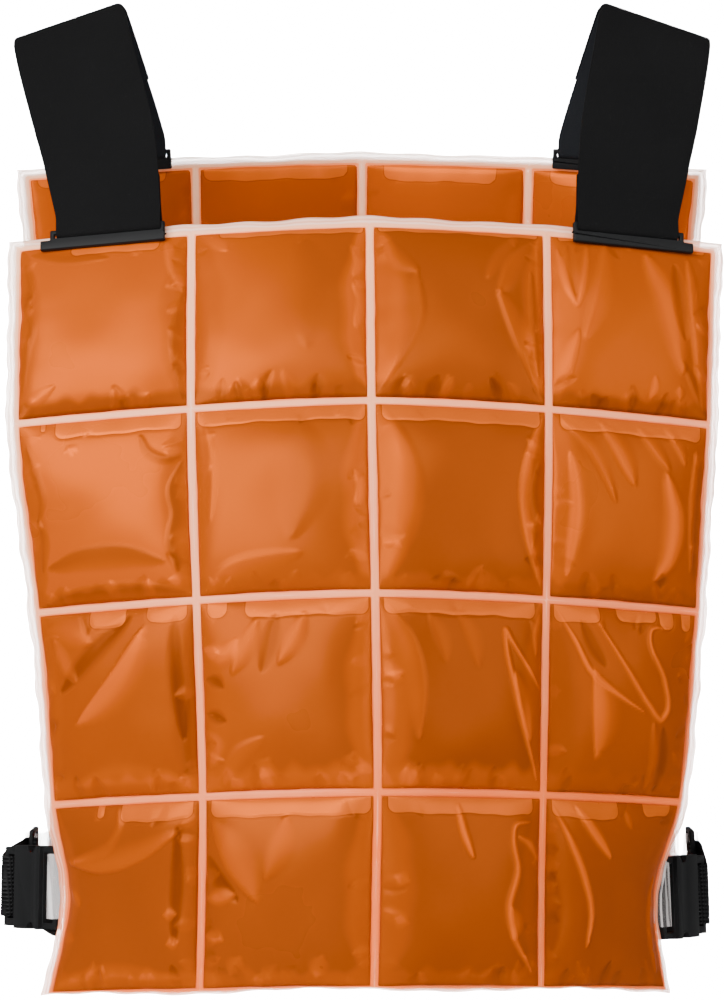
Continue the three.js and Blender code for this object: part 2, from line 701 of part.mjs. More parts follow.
// The webbing: sewn round the link's bar, along the outside to the plug, over its bar, in through its slot and on
// forwards behind the buckle as a free end. Its route lies in the buckle's own plane of along and out, and climbs
// from there to the link.
function addWebbing(side, frame, linkEnd, linkUp) {
  const toLink = linkEnd.clone().sub(frame.bar);
  const linkBar = new THREE.Vector2(toLink.dot(frame.along), toLink.dot(frame.out));
  const climb = toLink.dot(frame.up);
  const radius = buckle.bar * 0.9 + clearance + webbing.thickness / 2;
  const plug = new THREE.Vector2(plugBar, 0);
  const away = linkBar.clone().sub(plug);
  const outerSide = Math.atan2(away.y, away.x) + Math.PI / 2;
  const linkRadius = link.bar * 0.72 + clearance + webbing.thickness / 2;
  const inside = -buckle.thickness / 2 - clearance - webbing.thickness;
  const returnEnd = linkBar.clone().addScaledVector(away.clone().normalize(), -webbing.turnUp * 0.5);
  returnEnd.addScaledVector(new THREE.Vector2(Math.cos(outerSide), Math.sin(outerSide)), -linkRadius * 0.75);
  const drop = Math.tan(degrees(side.tailDrop));
  const atLink = [returnEnd, ...wrap(linkBar, linkRadius, outerSide - Math.PI, Math.PI)];
  const atPlug = [
    ...wrap(plug, radius, outerSide, Math.PI * 1.05 - outerSide),
    new THREE.Vector2(plugBar - radius * 0.9, -radius * 1.05),
    new THREE.Vector2(plugBar - radius * 2.2, inside),
    new THREE.Vector2(plugBar - webbing.tail * 0.6, inside),
    new THREE.Vector2(plugBar - webbing.tail, inside - 1),
  ];
  const stop = (point, rise, wide) => ({
    centre: frame.bar
      .clone()
      .addScaledVector(frame.along, point.x)
      .addScaledVector(frame.out, point.y)
      .addScaledVector(frame.up, rise),
    wide,
    inner: webbing.width / 2,
    outer: webbing.width / 2,
  });
  const fall = (point) => (point.y < -radius ? Math.max(0, plugBar - radius - point.x) * drop : 0);
  const [leave, land] = [atLink[atLink.length - 1], atPlug[0]];
  const climbing = [0.25, 0.5, 0.8].map((share) =>
    stop(leave.clone().lerp(land, share), climb * (1 - share), linkUp.clone().lerp(frame.up, share).normalize()),
  );
  const stops = [
    ...atLink.map((point) => stop(point, climb, linkUp)),
    ...climbing,
    ...atPlug.map((point) => stop(point, -fall(point), frame.up)),
  ];
  add(`side_webbing_${side.name}`, band(stops, webbing.thickness), materials.webbing);
}

for (const side of sides) {
  const frame = buckleDirections(side);
  frame.bar = addClearLoop(panels.front, side, side.waist * panelHeight, frame.up, side.hang * loop.height);
  poseIn(add(`buckle_socket_${side.name}`, socketGeometry(), materials.plastic), frame);
  poseIn(add(`buckle_plug_${side.name}`, plugGeometry(), materials.plastic), frame);

  // The back loop's bar and the link stand along the edge of the back panel.
  const plugEnd = frame.bar.clone().addScaledVector(frame.along, plugBar);
  const linkUp = panels.back.frame((side.sign * panelWidth) / 2, backWaist).up;
  const backBar = addClearLoop(panels.back, side, backWaist, linkUp, 0);
  const linkAlong = plugEnd.sub(backBar);
  linkAlong.addScaledVector(linkUp, -linkAlong.dot(linkUp)).normalize();
  const linkFrame = { bar: backBar, along: linkAlong, up: linkUp };
  poseIn(add(`side_link_${side.name}`, linkGeometry(), materials.plastic), linkFrame);
  addWebbing(side, frame, backBar.clone().addScaledVector(linkAlong, link.length), linkUp);
}

export default vest;
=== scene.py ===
"""A cooling vest of welded, liquid-filled cells, as it is worn, dressed for the photograph.

Sizes along the vest's panels are in millimetres, as in the part's source. Everything that Blender gets is in metres.
"""

import math

import bmesh
import bpy
import numpy as np
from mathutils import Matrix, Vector


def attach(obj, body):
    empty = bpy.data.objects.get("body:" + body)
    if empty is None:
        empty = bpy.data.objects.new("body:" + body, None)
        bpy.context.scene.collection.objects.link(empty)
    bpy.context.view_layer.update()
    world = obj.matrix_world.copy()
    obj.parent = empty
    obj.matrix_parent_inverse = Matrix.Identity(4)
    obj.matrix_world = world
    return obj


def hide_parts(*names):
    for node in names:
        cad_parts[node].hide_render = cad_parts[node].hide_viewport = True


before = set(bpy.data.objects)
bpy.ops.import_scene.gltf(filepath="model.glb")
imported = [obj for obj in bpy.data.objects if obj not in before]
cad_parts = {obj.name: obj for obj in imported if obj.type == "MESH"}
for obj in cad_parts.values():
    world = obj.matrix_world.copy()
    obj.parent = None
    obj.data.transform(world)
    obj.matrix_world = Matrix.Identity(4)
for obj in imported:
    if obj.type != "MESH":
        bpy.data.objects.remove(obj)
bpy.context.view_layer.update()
bpy.ops.object.select_all(action="DESELECT")

MM = 0.001

# Sizes that follow the part's source.
CELL_WIDTH, CELL_HEIGHT = 87.5, 95.5
SEAM, CROSS_SEAM = 5.0, 4.5
SIDE_HEM, TOP_HEM, BOTTOM_HEM = 7.5, 7.0, 5.0
FILM = 1.0
OUTER_BULGE, INNER_BULGE = 8.0, 6.0
COLUMNS = ROWS = 4
PITCH = CELL_WIDTH + SEAM
ROW_PITCH = CELL_HEIGHT + CROSS_SEAM
PANEL_WIDTH = COLUMNS * PITCH - SEAM + 2 * SIDE_HEM
PANEL_HEIGHT = TOP_HEM + ROWS * ROW_PITCH - CROSS_SEAM + BOTTOM_HEM
EDGE_DROOP = 12.0

# One row for each height of a panel: the share of its height, the sideways shift of its middle in cell widths, its
# lean in degrees and the turn of each column of cells in degrees.
FRONT_SECTIONS = (
    # at, shift, lean, turn
    (0.00, 0.045, 26, (-8, -3, 6, 15)),
    (0.26, 0.055, 19, (-10, -6, 11, 23)),
    (0.50, 0.075, 6, (-25, -12, 20, 29)),
    (0.75, 0.090, -1, (-31, -17, 25, 37)),
    (0.87, 0.080, -3, (-39, -17, 24, 48)),
    (1.00, 0.070, -4, (-30, -17, 23, 43)),
)
BACK_SECTIONS = (
    # at, shift, lean, turn
    (0.00, 0, 22, (-9, -13, 13, 9)),
    (0.17, 0, 21, (-21, -13, 13, 21)),
    (0.26, 0, 19, (-25, -14, 14, 25)),
    (0.50, 0, 11, (-30, -14, 14, 30)),
    (0.75, 0, 4, (-33, -13, 13, 33)),
    (0.89, 0, 0, (-34, -12, 12, 34)),
    (1.00, 0, -2, (-31, -12, 12, 31)),
)


def smooth(low, high, value):
    """0 at low and 1 at high, and smooth between. low may be the larger one."""
    t = np.clip((value - low) / (high - low), 0, 1)
    return t * t * (3 - 2 * t)


def through(places, values, at):
    """A smooth curve through a table's values."""
    places, values = np.asarray(places, float), np.asarray(values, float)
    chords = np.diff(values) / np.diff(places)
    slopes = np.concatenate([[chords[0]], (chords[1:] + chords[:-1]) / 2, [chords[-1]]])
    i = np.clip(np.searchsorted(places, at, side="right") - 1, 0, len(places) - 2)
    span = places[i + 1] - places[i]
    t = np.clip((at - places[i]) / span, 0, 1)
    rise = t * t * (3 - 2 * t)
    return (
        values[i] + (values[i + 1] - values[i]) * rise
        + span * t * (1 - t) * ((1 - t) * slopes[i] - t * slopes[i + 1])
    )


class Panel:
    """The middle surface of a panel, tabled once on a fine grid. Places on it are across from its middle line and
    down from its top edge."""

    MARGIN = 4.0
    STEP = 1.0

    def __init__(self, name, side, behind, below, sections):
        self.name, self.side = name, side
        reach = PANEL_WIDTH / 2 + self.MARGIN
        half = int(round(reach / self.STEP))
        across = np.arange(-half, half + 1) * self.STEP
        down = np.arange(-self.MARGIN, PANEL_HEIGHT + self.MARGIN + self.STEP, self.STEP)
        self.low = (across[0], down[0])
        at = np.clip(down / PANEL_HEIGHT, 0, 1)
        places = [row[0] for row in sections]
        lean = np.radians(through(places, [row[2] for row in sections], at))
        shift = through(places, [row[1] for row in sections], at) * CELL_WIDTH
        turns = [through(places, [row[3][k] for row in sections], at) for k in range(COLUMNS)]

        # Each column of cells is nearly flat, and the panel bends along its seams.
        hinge = 0.65
        place = across / PITCH + COLUMNS / 2 - 0.5
        column = np.clip(np.floor(place), 0, COLUMNS - 2).astype(int)
        share = smooth(0.5 - hinge / 2, 0.5 + hinge / 2, place - column)
        turns = np.array(turns)
        turn = np.radians(turns[column].T * (1 - share) + turns[column + 1].T * share)

        top = int(round(self.MARGIN / self.STEP))
        droop = EDGE_DROOP * np.abs(2 * across / PANEL_WIDTH) ** 1.5
        x = shift[:, None] + self.integral(np.cos(turn), 1, half)
        y = (
            behind
            + side * self.integral(np.sin(lean)[:, None], 0, top)
            - side * self.integral(np.sin(turn), 1, half)
        )
        z = -below - self.integral(np.cos(lean)[:, None], 0, top) - droop[None, :]
        self.points = np.stack(np.broadcast_arrays(x, y, z), axis=-1)
        along = np.gradient(self.points, axis=1)
        up = -np.gradient(self.points, axis=0)
        out = np.cross(along, up) * -side
        self.outs = out / np.linalg.norm(out, axis=-1, keepdims=True)

    def integral(self, values, axis, zero):
        """The sum along one axis of the grid, from the step numbered zero."""
        count = values.shape[axis]
        middles = (np.take(values, range(1, count), axis) + np.take(values, range(count - 1), axis)) / 2
        total = np.cumsum(middles, axis=axis) * self.STEP
        total = np.concatenate([np.zeros_like(np.take(total, [0], axis)), total], axis=axis)
        return total - np.take(total, [zero], axis)

    def look_up(self, table, across, down):
        """A table's values between its grid's points."""
        i = np.clip((down - self.low[1]) / self.STEP, 0, table.shape[0] - 1.001)
        j = np.clip((across - self.low[0]) / self.STEP, 0, table.shape[1] - 1.001)
        i0, j0 = i.astype(int), j.astype(int)
        s, t = (i - i0)[..., None], (j - j0)[..., None]
        upper = table[i0, j0] * (1 - t) + table[i0, j0 + 1] * t
        lower = table[i0 + 1, j0] * (1 - t) + table[i0 + 1, j0 + 1] * t
        return upper * (1 - s) + lower * s

    def offset(self, across, down, height):
        """Points that stand off the panel by a height."""
        across, down = np.broadcast_arrays(np.asarray(across, float), np.asarray(down, float))
        out = self.look_up(self.outs, across, down)
        out = out / np.linalg.norm(out, axis=-1, keepdims=True)
        return self.look_up(self.points, across, down) + out * np.asarray(height, float)[..., None]


PANELS = {
    "front": Panel("front", -1, -0.652 * CELL_WIDTH, 105.0, FRONT_SECTIONS),
    "back": Panel("back", 1, 0.75 * CELL_WIDTH, 61.5, BACK_SECTIONS),
}

# The spacing of the webbing's ribs and of its picks, in metres.
RIB_SPACING = 0.0021
PICK_SPACING = 0.0017

# Shader maths


class Value:
    """A socket of a material that adds, multiplies and divides as a number does."""

    def __init__(self, paint, socket):
        self.paint, self.socket = paint, socket

    def math(self, operation, *others):
        return self.paint.node("ShaderNodeMath", [self, *others], operation=operation)

    def __add__(self, other):
        return self.math("ADD", other)

    def __sub__(self, other):
        return self.math("SUBTRACT", other)

    def __rsub__(self, other):
        return self.paint.node("ShaderNodeMath", [other, self], operation="SUBTRACT")

    def __mul__(self, other):
        return self.math("MULTIPLY", other)

    def __truediv__(self, other):
        return self.math("DIVIDE", other)

    __radd__ = __add__

    def ramp(self, low, high, curve="SMOOTHSTEP"):
        """0 at low and 1 at high, smooth or straight between."""
        return self.paint.node("ShaderNodeMapRange", [self, low, high, 0.0, 1.0], interpolation_type=curve)


class Paint:
    """A material with one Principled shader."""

    def __init__(self, name, **constants):
        self.material = bpy.data.materials.new(name)
        self.material.use_nodes = True
        self.tree = self.material.node_tree
        self.shader = self.tree.nodes["Principled BSDF"]
        self.set(**constants)

    def put(self, socket, value):
        """Gives a socket a constant, or links a value to it."""
        if isinstance(value, Value):
            self.tree.links.new(value.socket, socket)
        elif socket.type == "RGBA" and len(value) == 3:
            socket.default_value = (*value, 1)
        else:
            socket.default_value = value

    def node(self, kind, inputs=(), output=0, **settings):
        """Any node. inputs is a list in the sockets' order, or a dict by name or number."""
        made = self.tree.nodes.new(kind)
        for key, value in settings.items():
            setattr(made, key, value)
        pairs = inputs.items() if isinstance(inputs, dict) else enumerate(inputs)
        for key, value in pairs:
            self.put(made.inputs[key], value)
        return Value(self, made.outputs[output])

    def attribute(self, name):
        return self.node("ShaderNodeAttribute", output="Fac", attribute_name=name)

    def place(self):
        return self.node("ShaderNodeTexCoord", output="Object")

    def axes(self):
        """A place's x, y and z, in metres."""
        spot = self.place()
        return [self.node("ShaderNodeSeparateXYZ", [spot], output=axis) for axis in "XYZ"]

    def noise(self, scale, detail=2.0, roughness=0.5):
        inputs = {"Vector": self.place(), "Scale": scale, "Detail": detail, "Roughness": roughness}
        return self.node("ShaderNodeTexNoise", inputs, output="Fac")

    def mix(self, share, first, second):
        """Two colours mixed: the first where share is 0, the second where it is 1."""
        return self.node("ShaderNodeMix", {0: share, 6: first, 7: second}, output=2, data_type="RGBA")

    def bump(self, height, distance, strength=1.0):
        return self.node("ShaderNodeBump", {"Height": height, "Distance": distance, "Strength": strength})

    def set(self, **sockets):
        for name, value in sockets.items():
            self.put(self.shader.inputs[name.replace("_", " ")], value)


def liquid_paint():
    """Orange liquid under clear film. Its colour follows an attribute that is low where the liquid is deep and where
    shade is painted, and high where it is thin and where light is painted.
    """
    paint = Paint(
        "orange liquid under film", Metallic=0.17, Specular_IOR_Level=0.05, Specular_Tint=(1.0, 0.4, 0.1, 1.0)
    )
    tone = paint.attribute("tone")
    air = paint.attribute("air")
    cloud = paint.noise(16.0, 3.0)
    shade = tone + (cloud - 0.5) * 0.16
    # The liquid's depth and its painted light and shade set how light the orange is.
    colour = paint.mix(shade.ramp(-0.4, 0.05, "LINEAR"), (0.125, 0.021, 0.002), (0.225, 0.0385, 0.0026))
    colour = paint.mix(shade.ramp(0.05, 0.9, "LINEAR"), colour, (0.345, 0.0545, 0.0012))
    colour = paint.mix(shade.ramp(0.9, 1.5, "LINEAR"), colour, (0.54, 0.084, 0.002))
    bubble = air.ramp(-0.25, 0.25)
    colour = paint.mix(bubble * 0.55, colour, (0.6, 0.104, 0.006))
    line = 1 - ((air + 0.2) / 0.45).math("ABSOLUTE").ramp(0.0, 1.0)
    colour = paint.mix(line * 0.6, colour, (0.13, 0.02, 0.002))
    paint.set(
        Base_Color=colour,
        Roughness=0.3 + (cloud - 0.5) * 0.16,
        Normal=paint.bump(paint.noise(38.0, 1.0), 0.0005, 0.3),
    )
    return paint.material


def film_paint():
    """Clear film, welded flat along the seams and hems. It has painted orange light from the cells beside it, and
    painted shade towards the lower right.
    """
    paint = Paint("welded film", IOR=1.3, Specular_IOR_Level=0.3)
    cloud = paint.noise(30.0, 3.0)
    fine = paint.noise(95.0, 2.0)
    rim = paint.attribute("edge")
    weld = paint.attribute("weld")
    x, y, z = paint.axes()
    # Painted shade: low grows towards the lower right, away from the key softbox, and turns the film a deeper orange.
    low = (x * 0.55 - z + cloud * 0.12).ramp(0.08, 0.5, "LINEAR")
    pale = paint.mix(low, (1.0, 0.48, 0.27), (0.78, 0.125, 0.016))
    deep = paint.mix(low, (1.0, 0.25, 0.075), (0.56, 0.075, 0.005))
    # Painted light from the cells: near them the seams are painted a deeper orange.
    seam = paint.mix((weld + (fine - 0.5) * 0.8).ramp(0.35, 1.2), deep, pale)
    streak = (weld * 2.6 + cloud * 14.0 + fine * 2.0).math("SINE") * 0.5 + 0.5
    hem = paint.mix(low * 0.75 + streak * 0.35, (1.0, 0.7, 0.54), (1.0, 0.28, 0.12))
    colour = paint.mix((weld + (cloud - 0.5) * 2.0).ramp(2.0, 3.6), seam, hem)
    colour = paint.mix(rim.ramp(0.93, 1.0) * 0.45, colour, (1.0, 0.4, 0.22))
    paint.set(
        Base_Color=colour,
        Roughness=0.32 + (fine - 0.5) * 0.1,
        Alpha=0.98 - weld.ramp(1.6, 4.5) * (0.14 + streak * 0.16 + cloud * 0.12),
        Normal=paint.bump(paint.noise(120.0, 2.0), 0.0003, 0.5),
    )
    return paint.material


def clear_paint():
    """The clear flexible loops at the waist."""
    paint = Paint("clear flexible film", IOR=1.45, Roughness=0.1)
    cloud = paint.noise(40.0, 2.0)
    x, y, z = paint.axes()
    # Painted highlight: line paints white streaks of reflection across the film.
    line = (x * 800.0 + y * 350.0 + z * 30.0 + cloud * 1.2).math("SINE").ramp(0.8, 1.0)
    # The loop on the wearer's right is whiter and less clear.
    whiter_on_wearers_right = x.ramp(0.05, -0.05)
    paint.set(
        Base_Color=paint.mix(line + whiter_on_wearers_right * 0.6, (0.45, 0.42, 0.41), (1.0, 0.95, 0.93)),
        Coat_Weight=0.4,
        Alpha=0.05 + cloud * 0.05 + line * (0.4 - whiter_on_wearers_right * 0.2) + whiter_on_wearers_right * 0.2,
        Normal=paint.bump(paint.noise(90.0, 2.0), 0.0004, 0.5),
    )
    return paint.material


def cloth_paint(name, dark, light):
    """Hook-and-loop cloth, with short brushed pile."""
    paint = Paint(name, Specular_IOR_Level=0.03, Sheen_Weight=0.004, Sheen_Roughness=0.6)
    cloud = paint.noise(18.0, 4.0)
    pile = paint.noise(1300.0, 2.0, 0.7)
    paint.set(
        Base_Color=paint.mix(cloud * 0.5 + pile * 0.5, dark, light),
        Roughness=0.9 + (pile - 0.5) * 0.12,
        Normal=paint.bump(pile, 0.0004, 0.6),
    )
    return paint.material


def webbing_paint():
    """Ribbed black webbing, woven in short picks that slant from rib to rib."""
    paint = Paint("black ribbed webbing", Specular_IOR_Level=0.06)
    x, y, z = paint.axes()
    rib = (z * (2 * math.pi / RIB_SPACING)).math("SINE")
    pick = ((x * 0.7 + y) * (2 * math.pi / PICK_SPACING) + rib * 1.4).math("SINE")
    weave = rib * 0.4 + pick * 0.35 + paint.noise(900.0) * 0.25
    paint.set(
        Base_Color=paint.mix(weave.ramp(-0.5, 0.9), (0.0012, 0.0012, 0.0013), (0.016, 0.016, 0.0165)),
        Roughness=0.62,
        Normal=paint.bump(weave, 0.0006, 0.9),
    )
    return paint.material


def plastic_paint():
    """Black moulded plastic with a fine satin grain."""
    paint = Paint("black moulded plastic", IOR=1.2, Specular_IOR_Level=0.5)
    grain = paint.noise(1400.0, 2.0)
    wear = paint.noise(35.0, 3.0)
    paint.set(
        Base_Color=paint.mix(wear, (0.0045, 0.0046, 0.0049), (0.0078, 0.008, 0.0083)),
        Roughness=0.45 + (wear - 0.5) * 0.16,
        Normal=paint.bump(grain, 0.00006, 0.5),
    )
    return paint.material


LIQUID = liquid_paint()
WELDED = film_paint()
CLEAR = clear_paint()
CLOTH = cloth_paint("black brushed cloth", (0.0026, 0.0026, 0.0027), (0.0068, 0.0068, 0.007))
# The back straps' cloth is the same black cloth, painted lighter and a little bluer as painted light.
BACK_CLOTH_PAINTED_LIGHTER = cloth_paint("black brushed cloth of the back", (0.0055, 0.006, 0.007), (0.0125, 0.0135, 0.0155))
WEBBING = webbing_paint()
PLASTIC = plastic_paint()

# Meshes from grids


def new_piece(name, points, faces, material, values=()):
    """A piece from points in millimetres. values are named numbers, one for each point."""
    mesh = bpy.data.meshes.new(name)
    mesh.from_pydata((np.asarray(points) * MM).tolist(), [], faces)
    for key, numbers in dict(values).items():
        mesh.attributes.new(key, "FLOAT", "POINT").data.foreach_set("value", np.asarray(numbers, np.float32))
    mesh.materials.append(material)
    mesh.update()
    mesh.shade_smooth()
    piece = bpy.data.objects.new(name, mesh)
    bpy.context.scene.collection.objects.link(piece)
    return piece


def faces_of(rows, columns, flip=False):
    """The quads of a grid of points."""
    i, j = np.meshgrid(np.arange(rows - 1), np.arange(columns - 1), indexing="ij")
    a = i * columns + j
    quads = np.stack([a, a + 1, a + columns + 1, a + columns], axis=-1).reshape(-1, 4)
    return quads[:, ::-1] if flip else quads


def make_outward(piece):
    """Turns a closed piece's faces out."""
    work = bmesh.new()
    work.from_mesh(piece.data)
    bmesh.ops.recalc_face_normals(work, faces=work.faces)
    work.to_mesh(piece.data)
    work.free()


# Cells

# The air that has risen to the top of each front cell. Places are in hundredths of the cell's width, and deep is in
# millimetres.
AIR = {
    # from, to, deep
    "r1c1": ((31, 84, 7.5),),
    "r1c2": ((14, 99, 3.6),),
    "r1c3": ((2, 97, 2.6),),
    "r1c4": ((4, 96, 2.2),),
    "r2c1": ((22, 97, 8.6), (13, 16, 3.4)),
    "r2c2": ((1, 99, 8.4),),
    "r2c3": ((3, 97, 8.8),),
    "r2c4": ((4, 96, 8.4),),
    "r3c1": ((34, 58, 8.2), (72, 97, 7.4)),
    "r3c2": ((4, 16, 7.0), (27, 99, 8.0)),
    "r3c3": ((2, 95, 7.6),),
    "r3c4": ((2, 32, 8.2), (44, 72, 6.0), (74, 84, 8.4), (90, 97, 8.0)),
    "r4c1": ((48, 97, 8.6), (31, 36, 5.2)),
    "r4c2": ((3, 99, 8.6),),
    "r4c3": ((3, 95, 8.0),),
    "r4c4": ((3, 52, 8.4), (72, 94, 5.4)),
}

# Painted light and shade of each front cell, lit from the upper left: how light it is painted. drift is how much
# lighter its left side is painted than its right.
PAINTED_CELL_LIGHT = {
    # middle, drift, left flank, right flank, bottom
    "r1c1": (1.00, 0.00, 0.72, 0.72, 0.10),
    "r1c2": (0.62, 0.75, 0.85, 1.10, 0.10),
    "r1c3": (0.08, 0.05, 0.80, 0.85, 0.02),
    "r1c4": (0.62, 0.10, 0.90, 0.70, 0.05),
    "r2c1": (1.05, 0.00, 0.70, 0.60, 0.45),
    "r2c2": (0.45, 0.50, 0.75, 0.95, 0.45),
    "r2c3": (0.06, 0.00, 0.64, 0.60, 0.42),
    "r2c4": (0.38, 0.00, 0.80, 0.50, 0.15),
    "r3c1": (0.36, 0.10, 0.60, 0.15, 0.75),
    "r3c2": (0.27, 0.35, 0.60, 0.80, 0.95),
    "r3c3": (0.00, 0.00, 0.55, 0.50, 0.90),
    "r3c4": (0.24, 0.00, 0.10, 0.45, 0.45),
    "r4c1": (0.12, 0.00, 0.40, 0.20, 0.60),
    "r4c2": (0.14, 0.10, 0.20, 0.65, 0.65),
    "r4c3": (0.08, 0.00, 0.45, 0.40, 0.45),
    "r4c4": (0.20, 0.00, 0.10, 0.55, 0.30),
}

# The same painted light and shade, for every back cell.
BACK_PAINTED_LIGHT = (0.9, 0.2, 1.0, 0.95, 0.4)

# How full a cell is beside the part's, and how far its skins stand off the panel's middle at the weld.
FULLNESS = 0.93
WELD_LIFT = 0.2

# For each row of cells: how high the band of painted light and shade at its bottom is, as a share of a cell's height,
# and how strongly the painted highlights and shade of its folds show.
PAINTED_BOTTOM_BANDS = (0.075, 0.078, 0.115, 0.085)
PAINTED_FOLD_LIGHT = (1.0, 1.1, 1.35, 1.4)
